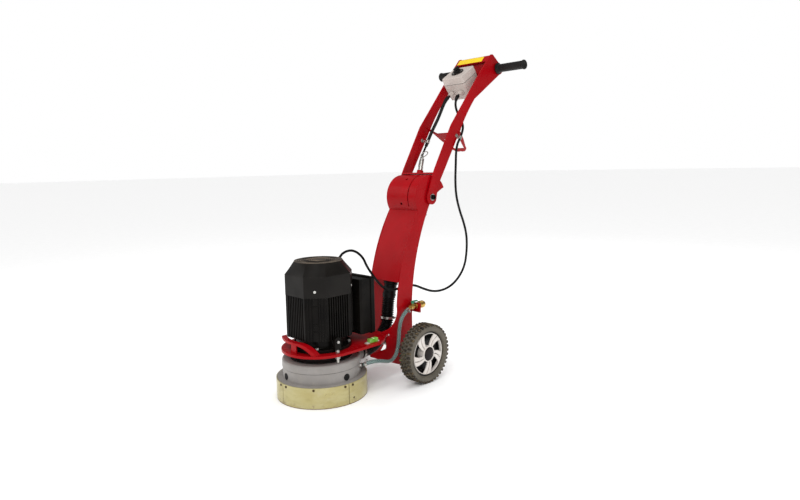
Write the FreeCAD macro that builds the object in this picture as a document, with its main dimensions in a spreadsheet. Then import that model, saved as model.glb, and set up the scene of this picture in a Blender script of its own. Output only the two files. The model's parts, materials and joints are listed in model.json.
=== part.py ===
import FreeCAD, Part
import math
import os
import Sketcher
from FreeCAD import Placement, Rotation, Vector

# Walk-behind single-disc concrete grinder with a folding handle.
# +Z is up, the grinding head is at -Y, the handle and the wheels are at +Y, +X is the valve's side.
# Everything is drawn about the grinding head's axis and moved back by frame_shift, so that the
# origin is on the floor under the middle of the machine. Lengths are in mm, angles in degrees.

SIZES = {
    "frame_shift": (371.11, "head axis ahead of the origin"),
    "skirt_radius": (145.0, "dust skirt, outside"),
    "skirt_height": (65.0, "dust skirt"),
    "skirt_sheet": (2.5, "dust skirt sheet"),
    "seam_front": (-94.0, "first seam of the removable skirt segment"),
    "seam_rear": (-3.2, "second seam of the removable skirt segment"),
    "housing_radius": (125.3, "cast head housing, outside"),
    "housing_top": (125.4, "top of the head housing"),
    "housing_wall": (6.0, "cast wall"),
    "housing_mouth": (60.0, "opening in the housing's top"),
    "plug_radius": (10.8, "rubber plug"),
    "plug_height": (79.0, "height of the plugs' centres"),
    "ring_outer": (99.0, "rubber mounting ring, outside"),
    "ring_inner": (88.0, "rubber mounting ring, inside"),
    "disc_radius": (125.0, "grinding disc"),
    "disc_low": (9.0, "underside of the grinding disc"),
    "disc_sheet": (6.0, "grinding disc thickness"),
    "segment_low": (0.4, "working face of the diamond segments"),
    "segment_count": (6, "diamond segments"),
    "plate_low": (149.0, "underside of the base plate"),
    "plate_sheet": (8.0, "base plate thickness"),
    "plate_radius": (126.0, "front of the base plate"),
    "stud_circle": (110.0, "levelling studs' circle radius"),
    "stud_angle": (-10.5, "first levelling stud"),
    "stud_radius": (5.0, "levelling stud thread"),
    "bell_flange": (98.0, "motor flange radius"),
    "bell_radius": (78.0, "motor end bell"),
    "frame_low": (195.0, "underside of the finned frame"),
    "frame_top": (330.0, "top of the finned frame"),
    "frame_half": (94.0, "finned frame, half its width over the fins"),
    "frame_corner": (46.0, "half width of the flat between the corners"),
    "frame_bore": (70.0, "stator seat radius"),
    "fin_sheet": (3.2, "cooling fin"),
    "fin_pitch": (9.0, "cooling fin pitch"),
    "fin_count": (10, "cooling fins on a side"),
    "cover_half": (96.5, "fan cover, half width"),
    "cover_corner": (48.5, "fan cover, half width of its flats"),
    "cover_shoulder": (395.0, "fan cover, top of the straight part"),
    "cover_top": (434.0, "fan cover, top"),
    "cover_top_radius": (76.0, "fan cover, radius of the top"),
    "cover_sheet": (2.0, "fan cover sheet"),
    "shaft_radius": (8.45, "motor shaft in its bearings"),
    "bearing_bore": (8.5, "motor bearing bore"),
    "bearing_radius": (20.0, "motor bearing, outside"),
    "bearing_width": (12.0, "motor bearing width"),
    "rotor_radius": (44.5, "rotor core"),
    "fan_radius": (68.0, "cooling fan"),
    "blade_count": (8, "cooling fan blades"),
    "box_half": (79.0, "capacitor box, half width"),
    "box_front": (105.0, "capacitor box, front face"),
    "box_depth": (43.0, "capacitor box depth"),
    "box_low": (182.0, "capacitor box, underside"),
    "box_top": (362.0, "capacitor box, top"),
    "side_gap": (69.0, "column side plates' inner faces"),
    "side_sheet": (3.0, "column side plate"),
    "pivot_y": (456.0, "handle pivot behind the head axis"),
    "pivot_z": (611.0, "handle pivot above the floor"),
    "drum_radius": (80.0, "drum about the pivot"),
    "drum_sheet": (3.0, "drum sheet"),
    "index_tilt": (15.3, "index plunger, rearward of vertical"),
    "pivot_radius": (9.0, "pivot tube"),
    "pivot_hole": (9.05, "pivot hole in the arms"),
    "axle_y": (290.8, "axle behind the head axis"),
    "axle_z": (100.0, "axle height"),
    "axle_radius": (10.0, "axle"),
    "wheel_bore": (10.05, "wheel bore"),
    "tyre_radius": (100.0, "tyre over its lugs"),
    "tyre_root": (94.0, "tyre between its lugs"),
    "tyre_seat": (74.0, "rim seat"),
    "wheel_inner": (158.8, "wheel's inner face from the middle"),
    "wheel_width": (48.0, "tyre width"),
    "lug_count": (24, "tyre lugs"),
    "arm_inner": (75.0, "handle arms' inner faces"),
    "arm_sheet": (6.0, "handle arm plate"),
    "grip_y": (851.0, "grips behind the head axis"),
    "grip_z": (1101.5, "grips above the floor"),
    "grip_radius": (16.0, "grip"),
    "grip_flange": (22.0, "grip flange"),
    "grip_start": (86.0, "grips' inner ends"),
    "grip_end": (211.0, "grips' outer ends"),
    "stub_radius": (11.0, "handlebar tube"),
    "brace_y": (589.0, "brace front edge behind the head axis"),
    "brace_z": (883.0, "brace front edge above the floor"),
    "brace_slope": (39.0, "brace slope down to the rear"),
    "brace_sheet": (5.0, "brace plate"),
    "switch_y": (719.5, "switch box behind the head axis"),
    "switch_z": (1059.5, "switch box parting line above the floor"),
    "switch_tilt": (32.5, "switch box tilt"),
    "switch_half": (51.0, "switch box, half width"),
    "switch_long": (49.0, "switch box, half length"),
    "switch_depth": (66.0, "switch box base depth"),
    "switch_lid": (27.5, "switch box lid height"),
    "knob_radius": (15.0, "switch knob"),
    "pin_radius": (4.0, "index pin"),
    "pin_bore": (4.05, "index pin's guide"),
    "hose_radius": (23.0, "dust hose, outside"),
    "hose_bore": (19.5, "dust hose, inside"),
    "port_radius": (24.5, "dust spigot, outside"),
    "port_height": (95.0, "dust spigot height"),
    "water_radius": (6.3, "water hose, outside"),
    "valve_x": (90.0, "valve from the middle"),
    "valve_z": (236.0, "valve height"),
    "inlet_bore": (6.5, "water inlet"),
    "cable_radius": (4.3, "motor cable"),
    "supply_radius": (4.0, "supply cord"),
    "sleeve_radius": (6.2, "supply cord sleeve"),
}

os.makedirs("parts", exist_ok=True)
doc = FreeCAD.newDocument("concrete_grinder")
sheet = doc.addObject("Spreadsheet::Sheet", "Sizes")
for row, (alias, (value, note)) in enumerate(SIZES.items(), start=1):
    sheet.set(f"A{row}", note)
    sheet.set(f"B{row}", str(value))
    sheet.setAlias(f"B{row}", alias)
doc.recompute()

X_AXIS = Vector(1, 0, 0)
Y_AXIS = Vector(0, 1, 0)
Z_AXIS = Vector(0, 0, 1)
nodes = []


def size(alias):
    """A driving dimension, read from the sheet."""
    return float(sheet.get(alias))


def place(node, at=(0, 0, 0), axis=X_AXIS, angle=0.0):
    """Put a finished sub-part in the machine's frame and keep it for export."""
    spot = Vector(*at) - Vector(0, size("frame_shift"), 0)
    node.Placement = Placement(spot, Rotation(axis, angle))
    nodes.append(node)
    return node


# ---------------------------------------------------------------- sketches and features

def bind(feature, name, value):
    """Set a property from a number, or bind it to a formula of the sheet's cells."""
    if isinstance(value, str):
        feature.setExpression(name, value)
    else:
        setattr(feature, name, value)


def cell(formula):
    """A formula in which each name is a cell of the sheet."""
    words = formula.split()
    return " ".join("Sizes." + word if word in SIZES else word for word in words)


def new_body(label):
    body = doc.addObject("PartDesign::Body", label)
    body.Label = label
    return body


def sketch_on(body, plane, offset=0.0, spin=0.0, tilt=0.0):
    """A sketch on an origin plane, turned about its own upright or level axis, then moved along its normal."""
    sketch = body.newObject("Sketcher::SketchObject", body.Name + "_sketch")
    origin_plane = next(item for item in body.Origin.OriginFeatures if item.Role == plane)
    sketch.AttachmentSupport = [(origin_plane, "")]
    sketch.MapMode = "FlatFace"
    turn = Rotation(Y_AXIS, spin) if spin else Rotation(X_AXIS, tilt)
    sketch.AttachmentOffset = Placement(turn.multVec(Vector(0, 0, offset)), turn)
    return sketch


def arc_of(start, via, end):
    """The arc from start through via to end, as sketch geometry."""
    full = Part.Circle(start, via, end)
    centre = full.Center
    turn = (via - start).cross(end - via).z
    first, last = (start, end) if turn > 0 else (end, start)
    begin = math.atan2(first.y - centre.y, first.x - centre.x)
    finish = math.atan2(last.y - centre.y, last.x - centre.x)
    if finish <= begin:
        finish += 2 * math.pi
    return Part.ArcOfCircle(Part.Circle(centre, Z_AXIS, full.Radius), begin, finish)


def edges_of(outline):
    """Edges of a closed outline: (u, v) ends a line, (via_u, via_v, u, v) ends an arc."""
    start = Vector(outline[0][0], outline[0][1], 0)
    here = start
    edges = []
    for step in list(outline[1:]) + [(start.x, start.y)]:
        there = Vector(step[-2], step[-1], 0)
        if there.distanceToPoint(here) < 1e-6:
            continue
        if len(step) == 4:
            edges.append(arc_of(here, Vector(step[0], step[1], 0), there))
        else:
            edges.append(Part.LineSegment(here, there))
        here = there
    return edges


def draw(sketch, *outlines):
    for outline in outlines:
        sketch.addGeometry(edges_of(outline), False)


def draw_circle(sketch, radius, u=0.0, v=0.0):
    """A circle whose radius is a cell of the sheet or a number."""
    value = size(radius) if isinstance(radius, str) else radius
    index = sketch.addGeometry(Part.Circle(Vector(u, v, 0), Z_AXIS, value), False)
    number = sketch.addConstraint(Sketcher.Constraint("Radius", index, value))
    if isinstance(radius, str):
        sketch.setExpression(f"Constraints[{number}]", cell(radius))


def grow(body, kind, sketch, length, away=False, both=False, taper=0.0):
    """A Pad or a Pocket of a sketch along its plane's normal, or away from it."""
    feature = body.newObject("PartDesign::" + kind, sketch.Name + "_" + kind.lower())
    feature.Profile = sketch
    bind(feature, "Length", cell(length) if isinstance(length, str) else length)
    feature.Reversed = away if kind == "Pad" else not away
    feature.SideType = "Symmetric" if both else "One side"
    feature.TaperAngle = taper
    sketch.Visibility = False
    return feature


def turn_about(body, kind, sketch, angle=360.0):
    """A Revolution or a Groove of a sketch about its own upright."""
    feature = body.newObject("PartDesign::" + kind, sketch.Name + "_" + kind.lower())
    feature.Profile = sketch
    feature.ReferenceAxis = (sketch, ["V_Axis"])
    bind(feature, "Angle", angle)
    return feature


def repeat(body, feature, count, axis="Z_Axis", angle=360.0):
    """A polar pattern of one feature about an origin axis."""
    pattern = body.newObject("PartDesign::PolarPattern", feature.Name + "_pattern")
    pattern.Originals = [feature]
    origin_axis = next(item for item in body.Origin.OriginFeatures if item.Role == axis)
    pattern.Axis = (origin_axis, [""])
    pattern.Angle = angle
    bind(pattern, "Occurrences", cell(count) if isinstance(count, str) else count)
    body.Tip = pattern
    return pattern


def mirror(body, features):
    """The same features again on the other side of the machine's middle plane."""
    copy = body.newObject("PartDesign::Mirrored", body.Name + "_mirrored")
    copy.Originals = features
    plane = next(item for item in body.Origin.OriginFeatures if item.Role == "YZ_Plane")
    copy.MirrorPlane = (plane, [""])
    body.Tip = copy
    return copy


def blend_edges(body, feature, kind, amount, wanted):
    """A Fillet or a Chamfer on the edges for which wanted(edge) holds."""
    doc.recompute()
    names = [f"Edge{i}" for i, edge in enumerate(feature.Shape.Edges, start=1) if wanted(edge)]
    finish = body.newObject("PartDesign::" + kind, body.Name + "_" + kind.lower())
    finish.Base = (feature, names)
    if kind == "Fillet":
        finish.Radius = amount
    else:
        finish.Size = amount
    body.Tip = finish
    return finish


def is_along(edge, axis):
    """True for a straight edge along an axis."""
    if not isinstance(edge.Curve, Part.Line):
        return False
    return abs(edge.Curve.Direction.dot(axis)) > 0.999


def box_outline(half_u, half_v, corner=0.0):
    """A rectangle about the sketch's origin, with round corners if asked for."""
    if corner == 0.0:
        return [(-half_u, -half_v), (half_u, -half_v), (half_u, half_v), (-half_u, half_v)]
    cut = corner * (1 - math.sqrt(0.5))
    flat_u = half_u - corner
    flat_v = half_v - corner
    return [
        (-flat_u, -half_v), (flat_u, -half_v),
        (half_u - cut, -half_v + cut, half_u, -flat_v), (half_u, flat_v),
        (half_u - cut, half_v - cut, flat_u, half_v), (-flat_u, half_v),
        (-half_u + cut, half_v - cut, -half_u, flat_v), (-half_u, -flat_v),
        (-half_u + cut, -half_v + cut, -flat_u, -half_v),
    ]


def raised(outline, amount):
    """The same outline, moved up the sketch."""
    return [tuple(value + amount * (place_in % 2) for place_in, value in enumerate(step)) for step in outline]


def sector_outline(inner, outer, middle, half_angle):
    """A piece of a ring about the sketch's origin."""
    def spot(radius, angle):
        turned = math.radians(middle + angle)
        return radius * math.cos(turned), radius * math.sin(turned)
    return [
        spot(inner, -half_angle), spot(outer, -half_angle),
        spot(outer, 0) + spot(outer, half_angle), spot(inner, half_angle),
        spot(inner, 0) + spot(inner, -half_angle),
    ]


# ---------------------------------------------------------------- plain solids for groups

def cylinder(radius, start, end, bore=0.0):
    """A cylinder, or a tube, between two points."""
    start = Vector(*start)
    reach = Vector(*end) - start
    solid = Part.makeCylinder(radius, reach.Length, start, reach)
    if bore > 0.0:
        solid = solid.cut(Part.makeCylinder(bore, reach.Length, start, reach))
    return solid


def hexagon(across, low, high, x, y):
    """An upright hexagonal nut or head."""
    corners = []
    for step in range(7):
        angle = math.radians(60 * step)
        reach = across / math.sqrt(3)
        corners.append(Vector(x + reach * math.cos(angle), y + reach * math.sin(angle), low))
    return Part.Face(Part.makePolygon(corners)).extrude(Vector(0, 0, high - low))


def polar(radius, angle, height):
    turned = math.radians(angle)
    return radius * math.cos(turned), radius * math.sin(turned), height


def group(label, solids):
    """Several like pieces in one node, each a solid of its own."""
    node = doc.addObject("Part::Feature", label)
    node.Label = label
    node.Shape = solids[0] if len(solids) == 1 else Part.makeCompound(solids)
    return node


def rounded_path(label, points):
    """Straight runs joined by tangent arcs, each as large as its two runs allow."""
    spots = [Vector(*point) for point in points]
    edges = []
    radii = []
    here = spots[0]
    for before, corner, after in zip(spots, spots[1:], spots[2:]):
        back = before - corner
        ahead = after - corner
        turn = math.pi - back.getAngle(ahead)
        reach = 0.45 * min(back.Length, ahead.Length)
        radii.append(reach / math.tan(turn / 2))
        entry = corner + back.normalize() * reach
        leave = corner + ahead.normalize() * reach
        inward = (back + ahead).normalize()
        centre = corner + inward * (radii[-1] / math.cos(turn / 2))
        middle = centre - inward * radii[-1]
        edges.append(Part.LineSegment(here, entry).toShape())
        edges.append(Part.Arc(entry, middle, leave).toShape())
        here = leave
    edges.append(Part.LineSegment(here, spots[-1]).toShape())
    print(label, "bend radii", [round(radius) for radius in radii])
    return Part.Wire(edges)


def tube(label, points, radius, bore=0.0):
    """A cord or a hose along a rounded path; its volume is compared with section times length."""
    path = rounded_path(label, points)
    start = Vector(*points[0])
    ahead = Vector(*points[1]) - start

    def sweep(section_radius):
        ring = Part.Wire(Part.makeCircle(section_radius, start, ahead))
        return path.makePipeShell([ring], True, False)

    solid = sweep(radius)
    if bore > 0.0:
        solid = solid.cut(sweep(bore))
    expected = math.pi * (radius ** 2 - bore ** 2) * path.Length
    print(label, "length", round(path.Length), "volume ratio", round(solid.Volume / expected, 3))
    return group(label, [solid])


# ---------------------------------------------------------------- grinding head

def head_housing():
    """Cast bell over the disc, with a flange inside the skirt and a dust spigot at the rear."""
    body = new_body("head_housing")
    outer = size("housing_radius")
    top = size("housing_top")
    wall = size("housing_wall")
    inner = outer - wall
    mouth = size("housing_mouth")
    flange = size("skirt_radius") - size("skirt_sheet") - 0.3
    flange_top = size("skirt_height") + 1.5
    section = sketch_on(body, "XZ_Plane")
    draw(section, [
        (mouth, top), (outer - wall, top), (outer - 1.8, top - 1.8, outer, top - wall),
        (outer, 101), (outer - 1.2, 99.8), (outer - 1.2, flange_top),
        (flange, flange_top), (flange, flange_top - 4), (inner, flange_top - 4),
        (inner, top - wall), (mouth, top - wall),
    ])
    turn_about(body, "Revolution", section)
    spigot = sketch_on(body, "XZ_Plane", offset=-118.0)
    draw_circle(spigot, "port_radius", 0, size("port_height"))
    grow(body, "Pad", spigot, 42.0, away=True)
    bore = sketch_on(body, "XZ_Plane", offset=-100.0)
    draw_circle(bore, "hose_bore", 0, size("port_height"))
    grow(body, "Pocket", bore, 70.0, away=True)
    for angle in (-100.0, 0.0):
        hole = sketch_on(body, "YZ_Plane", offset=110.0, spin=angle)
        draw_circle(hole, "plug_radius", 0, size("plug_height"))
        grow(body, "Pocket", hole, 30.0)
    body.Tip = body.Group[-1]
    place(body)


def housing_plugs():
    """Rubber plugs over the two service holes."""
    solids = []
    for angle in (-100.0, 0.0):
        inside = polar(size("housing_radius") - 6, angle, size("plug_height"))
        outside = polar(size("housing_radius") - 0.4, angle, size("plug_height"))
        solids.append(cylinder(size("plug_radius"), inside, outside))
    place(group("housing_plugs", solids))


def rubber_ring():
    """Flexible ring between the head and the base plate."""
    body = new_body("rubber_ring")
    low = size("housing_top")
    high = size("plate_low")
    middle = (low + high) / 2
    inner = size("ring_inner")
    outer = size("ring_outer")
    section = sketch_on(body, "XZ_Plane")
    draw(section, [
        (inner, low), (outer, low), (outer, low + 4), (outer - 7, middle, outer, high - 4),
        (outer, high), (inner, high),
    ])
    turn_about(body, "Revolution", section)
    place(body)


def skirt_part(label, start, sweep):
    """A stretch of the sheet skirt, from one seam to the other, with its lower fixing holes."""
    body = new_body(label)
    outer = size("skirt_radius")
    inner = outer - size("skirt_sheet")
    section = sketch_on(body, "XZ_Plane", spin=start)
    draw(section, [(inner, 0), (outer, 0), (outer, size("skirt_height")), (inner, size("skirt_height"))])
    turn_about(body, "Revolution", section, sweep)
    if label == "skirt_band":
        hole = sketch_on(body, "YZ_Plane", offset=120.0, spin=4.0)
        draw_circle(hole, 3.2, 0, 17.0)
        grow(body, "Pocket", hole, 60.0)
    place(body)


def screw(radius, head_high, shank, at, outward):
    """A pan-head screw: the head stands on the surface and the shank goes in."""
    at = Vector(*at)
    outward = Vector(*outward).normalize()
    head = Part.makeCylinder(radius, head_high, at, outward)
    rim = Part.makeCylinder(radius * 0.55, shank, at, outward * -1)
    return head.fuse(rim)


def skirt_screws():
    """Screws that hold the skirt to the housing flange, as solids."""
    solids = []
    for angle in (-98.0, -87.0, -48.0, -9.0, 2.2, 60.0, 120.0, 180.0, 225.0):
        turned = math.radians(angle)
        outward = (math.cos(turned), math.sin(turned), 0)
        solids.append(screw(3.6, 1.8, 6.0, polar(size("skirt_radius"), angle, 59.0), outward))
    return solids


# ---------------------------------------------------------------- base plate and what stands on it

def base_plate():
    """Plate that carries the motor: round in front, narrowing between the column's side plates."""
    body = new_body("base_plate")
    wide = size("plate_radius")
    narrow = size("side_gap") - 0.3
    outline = sketch_on(body, "XY_Plane", offset=size("plate_low"))
    draw(outline, [
        (-wide, 0), (0, -wide, wide, 0), (wide, 146), (104, 186), (84, 206, 72.4, 232),
        (narrow, 232), (-narrow, 232), (-72.4, 232), (-84, 206, -104, 186), (-wide, 146),
    ])
    grow(body, "Pad", outline, "plate_sheet")
    mouth = sketch_on(body, "XY_Plane")
    draw_circle(mouth, "housing_mouth")
    grow(body, "Pocket", mouth, 200.0)
    hole = sketch_on(body, "XY_Plane", offset=size("plate_low") - 5)
    draw_circle(hole, 5.4, *polar(size("stud_circle"), size("stud_angle"), 0)[:2])
    doc.recompute()
    mirror(body, [grow(body, "Pocket", hole, 30.0)])
    place(body)


def front_grip():
    """Bar over the plate's front edge to lift the head by: free at one end, bent down at the other."""
    top = 190.0
    foot = size("plate_low") + size("plate_sheet")
    bar = edges_of([
        (-86, 183), (16, 183), (54, 175, 77, foot), (88, foot), (63, 182, 20, top), (-86, top),
        (-89.5, 186.5, -86, 183),
    ])
    profile = Part.Face(Part.Wire([edge.toShape() for edge in bar]))
    profile.rotate(Vector(0, 0, 0), X_AXIS, 90)
    upright = profile.extrude(Vector(0, -200, 0))
    band = edges_of([(-90, -88), (0, -115, 90, -88), (90, -69), (0, -97, -90, -69)])
    plan = Part.Face(Part.Wire([edge.toShape() for edge in band])).extrude(Vector(0, 0, 300))
    web = Part.makeBox(26, 4, top - 3 - foot, Vector(-4, -113, foot))
    place(group("front_grip", [upright.common(plan).fuse(web).removeSplitter()]))


def stud_angles():
    """The two studs stand on either side of the head."""
    return size("stud_angle"), 180 - size("stud_angle")


def levelling_studs():
    """Two studs that hang the head on the base plate, each with a nut below and a sleeve above."""
    solids = []
    low = size("housing_top")
    plate_low = size("plate_low")
    plate_top = plate_low + size("plate_sheet")
    for angle in stud_angles():
        x, y, _ = polar(size("stud_circle"), angle, 0)
        stud = cylinder(size("stud_radius"), (x, y, low), (x, y, 167))
        lower = hexagon(16, plate_low - 9, plate_low, x, y)
        sleeve = cylinder(7.0, (x, y, plate_top), (x, y, plate_top + 8))
        solids.append(stud.fuse([lower, sleeve]))
    place(group("levelling_studs", solids))


def spirit_level():
    """Block vial on the plate, held at both ends."""
    top = size("plate_low") + size("plate_sheet")
    block = Part.makeBox(14, 34, 14, Vector(98, 112, top))
    block = block.makeFillet(2.0, [edge for edge in block.Edges if is_along(edge, Y_AXIS)])
    solids = [block]
    for y in (105.5, 146.5):
        foot = Part.makeBox(12, 13, 3, Vector(99, y - 6.5, top))
        foot = foot.cut(block)
        solids.append(foot.fuse(Part.makeCylinder(3.5, 5, Vector(105, y, top))))
    place(group("spirit_level", [solids[0].fuse(solids[1:])]))


# ---------------------------------------------------------------- motor

def motor_end_bell():
    """Lower end bell with its mounting flange, bearing seat and a lug over each stud."""
    body = new_body("motor_end_bell")
    low = size("plate_low") + size("plate_sheet")
    top = size("frame_low")
    flange = size("bell_flange")
    radius = size("bell_radius")
    seat = size("bearing_radius") + 0.05
    section = sketch_on(body, "XZ_Plane")
    draw(section, [
        (12, low), (flange, low), (flange, 167), (radius + 4, 167), (radius + 1, 168, radius, 172),
        (radius, 188), (radius + 10, top), (radius - 8, top), (radius - 10, 165), (30, 165),
        (30, 176), (seat, 176), (seat, 163.5), (12, 163.5),
    ])
    turn_about(body, "Revolution", section)
    foot = sketch_on(body, "YZ_Plane", offset=flange - 6, spin=size("stud_angle"))
    draw(foot, [(-10, 161), (10, 161), (10, 172), (-10, 172)])
    foot_pad = grow(body, "Pad", foot, 10.8)
    lug = sketch_on(body, "YZ_Plane", offset=flange + 2, spin=size("stud_angle"))
    draw(lug, [(-10, 167.2), (10, 167.2), (10, 196), (0, 206, -10, 196)])
    lug_pad = grow(body, "Pad", lug, 15.0)
    doc.recompute()
    mirror(body, [foot_pad, lug_pad])
    place(body)


def stator_frame():
    """Finned motor frame: a tube, parallel fins on four sides and a thick pad at each corner."""
    body = new_body("stator_frame")
    low = size("frame_low")
    half = size("frame_half")
    corner = size("frame_corner")
    tall = "frame_top - frame_low"
    barrel = sketch_on(body, "XY_Plane", offset=low)
    draw_circle(barrel, size("frame_bore") + 11)
    draw_circle(barrel, "frame_bore")
    grow(body, "Pad", barrel, tall)
    pads = sketch_on(body, "XY_Plane", offset=low)
    draw(pads, [
        (half, corner - 5), (half, corner), (corner, half), (corner - 5, half), (50, 62),
        (53, 53), (62, 50),
    ])
    doc.recompute()
    repeat(body, grow(body, "Pad", pads, tall), 4)
    fins = sketch_on(body, "XY_Plane", offset=low)
    first = -size("fin_pitch") * (size("fin_count") - 1) / 2
    for step in range(int(size("fin_count"))):
        near = first + size("fin_pitch") * step - size("fin_sheet") / 2
        far = near + size("fin_sheet")
        draw(fins, [(60, near), (half, near), (half, far), (60, far)])
    doc.recompute()
    repeat(body, grow(body, "Pad", fins, tall), 4)
    clear = sketch_on(body, "XY_Plane", offset=low - 5)
    draw_circle(clear, "frame_bore")
    grow(body, "Pocket", clear, 160.0)
    body.Tip = body.Group[-1]
    place(body)


def stator_core():
    """Laminations with the winding ends above and below."""
    body = new_body("stator_core")
    outer = size("frame_bore")
    section = sketch_on(body, "XZ_Plane")
    draw(section, [
        (45.2, 222), (50, 222), (50, 207), (57, 203, 64, 207), (64, 222), (outer, 222),
        (outer, 300), (64, 300), (64, 312), (57, 316, 50, 312), (50, 300), (45.2, 300),
    ])
    turn_about(body, "Revolution", section)
    place(body)


def motor_end_shield():
    """Upper end shield with the fan-side bearing's seat."""
    body = new_body("motor_end_shield")
    low = size("frame_top")
    seat = size("bearing_radius") + 0.05
    section = sketch_on(body, "XZ_Plane")
    draw(section, [
        (seat, low - 12), (30, low - 12), (30, low), (84, low), (84, low + 6), (60, low + 9),
        (12, low + 9), (12, low + 1), (seat, low + 1),
    ])
    turn_about(body, "Revolution", section)
    place(body)


def cover_solid(inset):
    """The fan cover's form: a square with cut corners, drawn in to a round top."""
    half = size("cover_half") - inset
    flat = size("cover_corner") - inset * 0.41
    low = size("frame_top")
    shoulder = size("cover_shoulder") - inset * 0.5
    top = size("cover_top") - inset
    corners = [
        (half, -flat), (half, flat), (flat, half), (-flat, half),
        (-half, flat), (-half, -flat), (-flat, -half), (flat, -half), (half, -flat),
    ]
    base = Part.makePolygon([Vector(x, y, low) for x, y in corners])
    rim = Part.makePolygon([Vector(x, y, shoulder) for x, y in corners])
    radius = size("cover_top_radius") - inset
    arcs = []
    for step in range(8):
        spots = [Vector(*polar(radius, -22.5 + 45 * step + part, top)) for part in (0, 22.5, 45)]
        arcs.append(Part.Arc(*spots).toShape())
    drum = Part.makeLoft([base, rim], True, True)
    taper = Part.makeLoft([rim, Part.Wire(arcs)], True, True)
    return drum.fuse(taper)


def fan_cover():
    """Sheet cover over the fan, open below, with a slotted round top."""
    wall = size("cover_sheet")
    shell = cover_solid(0.0).cut(cover_solid(wall))
    top = size("cover_top")
    for step in range(24):
        slot = Part.makeBox(30, 4, 20, Vector(24, -2, top - 10))
        slot.rotate(Vector(0, 0, 0), Z_AXIS, 15 * step)
        shell = shell.cut(slot)
    place(group("fan_cover", [shell]))


def motor_screws():
    """Fan cover screws on its corners, lug screws and flange screws, as solids."""
    solids = []
    reach = (size("cover_half") + size("cover_corner")) / math.sqrt(2)
    for angle in (-45, 45, 135, 225):
        outward = polar(1, angle, 0)
        solids.append(screw(4.2, 2.2, 2.0, polar(reach, angle, 350), outward))
    flange_top = 167.0
    for angle in stud_angles():
        solids.append(screw(4.4, 3.2, 8.0, polar(115, angle, 192), polar(1, angle, 0)))
    for step in range(4):
        x, y, _ = polar(90, 45 + 90 * step, 0)
        solids.append(hexagon(10, flange_top, flange_top + 6, x, y))
    return solids


def motor_bearings():
    """The two ball bearings of the motor shaft, each a plain ring."""
    solids = []
    for low in (163.5, size("frame_top") - 11.5):
        high = low + size("bearing_width")
        solids.append(cylinder(size("bearing_radius"), (0, 0, low), (0, 0, high), size("bearing_bore")))
    place(group("motor_bearings", solids))


def capacitor_box():
    """Box behind the motor, open to the rear, on a spacer and with a cable gland on top."""
    body = new_body("capacitor_box")
    front = size("box_front")
    middle = (size("box_low") + size("box_top")) / 2
    half_tall = (size("box_top") - size("box_low")) / 2
    case = sketch_on(body, "XZ_Plane", offset=-front)
    half = size("box_half")
    draw(case, raised(box_outline(half, half_tall), middle))
    block = grow(body, "Pad", case, "box_depth", away=True)
    blend_edges(body, block, "Chamfer", 6.0, lambda edge: is_along(edge, Z_AXIS)
                and edge.BoundBox.YMax < front + 0.1)
    hollow = sketch_on(body, "XZ_Plane", offset=-front - 4)
    draw(hollow, raised(box_outline(half - 4, half_tall - 4), middle))
    grow(body, "Pocket", hollow, "box_depth", away=True)
    spacer = sketch_on(body, "XZ_Plane", offset=-front - 1)
    draw(spacer, [(-30, 225), (30, 225), (30, 315), (-30, 315)])
    grow(body, "Pad", spacer, front + 1 - size("frame_half"))
    gland = sketch_on(body, "XY_Plane", offset=size("box_top") - 2)
    draw_circle(gland, 11.0, -60, 126)
    grow(body, "Pad", gland, 20.0)
    bore = sketch_on(body, "XY_Plane", offset=size("box_top") - 10)
    draw_circle(bore, 5.2, -60, 126)
    grow(body, "Pocket", bore, 40.0)
    body.Tip = body.Group[-1]
    place(body)


def capacitor_box_lid():
    """Rear lid of the capacitor box, hollow, with rounded edges."""
    body = new_body("capacitor_box_lid")
    rear = size("box_front") + size("box_depth")
    middle = (size("box_low") + size("box_top")) / 2
    half_tall = (size("box_top") - size("box_low")) / 2 + 4
    half = size("box_half") + 3
    face = sketch_on(body, "XZ_Plane", offset=-rear)
    draw(face, raised(box_outline(half, half_tall, 6), middle))
    slab = grow(body, "Pad", face, 17.0, away=True)
    blend_edges(body, slab, "Fillet", 4.0, lambda edge: edge.BoundBox.YMin > rear + 16.9)
    hollow = sketch_on(body, "XZ_Plane", offset=-rear + 1)
    draw(hollow, raised(box_outline(half - 6, half_tall - 6), middle))
    grow(body, "Pocket", hollow, 14.0, away=True)
    body.Tip = body.Group[-1]
    place(body)


# ---------------------------------------------------------------- spindle

def motor_shaft():
    body = new_body("motor_shaft")
    slim = size("shaft_radius")
    section = sketch_on(body, "XZ_Plane")
    draw(section, [
        (0, 92), (slim, 92), (slim, 177), (11.5, 177), (11.5, 317), (slim, 317), (slim, 392), (0, 392),
    ])
    turn_about(body, "Revolution", section)
    place(body)


def rotor_core():
    body = new_body("rotor_core")
    section = sketch_on(body, "XY_Plane", offset=222.0)
    draw_circle(section, "rotor_radius")
    draw_circle(section, 11.5)
    grow(body, "Pad", section, 78.0)
    place(body)


def cooling_fan():
    """Radial fan on the shaft's upper end."""
    body = new_body("cooling_fan")
    section = sketch_on(body, "XZ_Plane")
    slim = size("shaft_radius")
    fan = size("fan_radius")
    draw(section, [(slim, 352), (fan, 352), (fan, 354.5), (18, 354.5), (18, 384), (slim, 384)])
    turn_about(body, "Revolution", section)
    blade = sketch_on(body, "XY_Plane", offset=353.0)
    draw(blade, [(16, -1.5), (fan - 1, -1.5), (fan - 1, 1.5), (16, 1.5)])
    doc.recompute()
    repeat(body, grow(body, "Pad", blade, 28.0), "blade_count")
    place(body)


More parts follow.
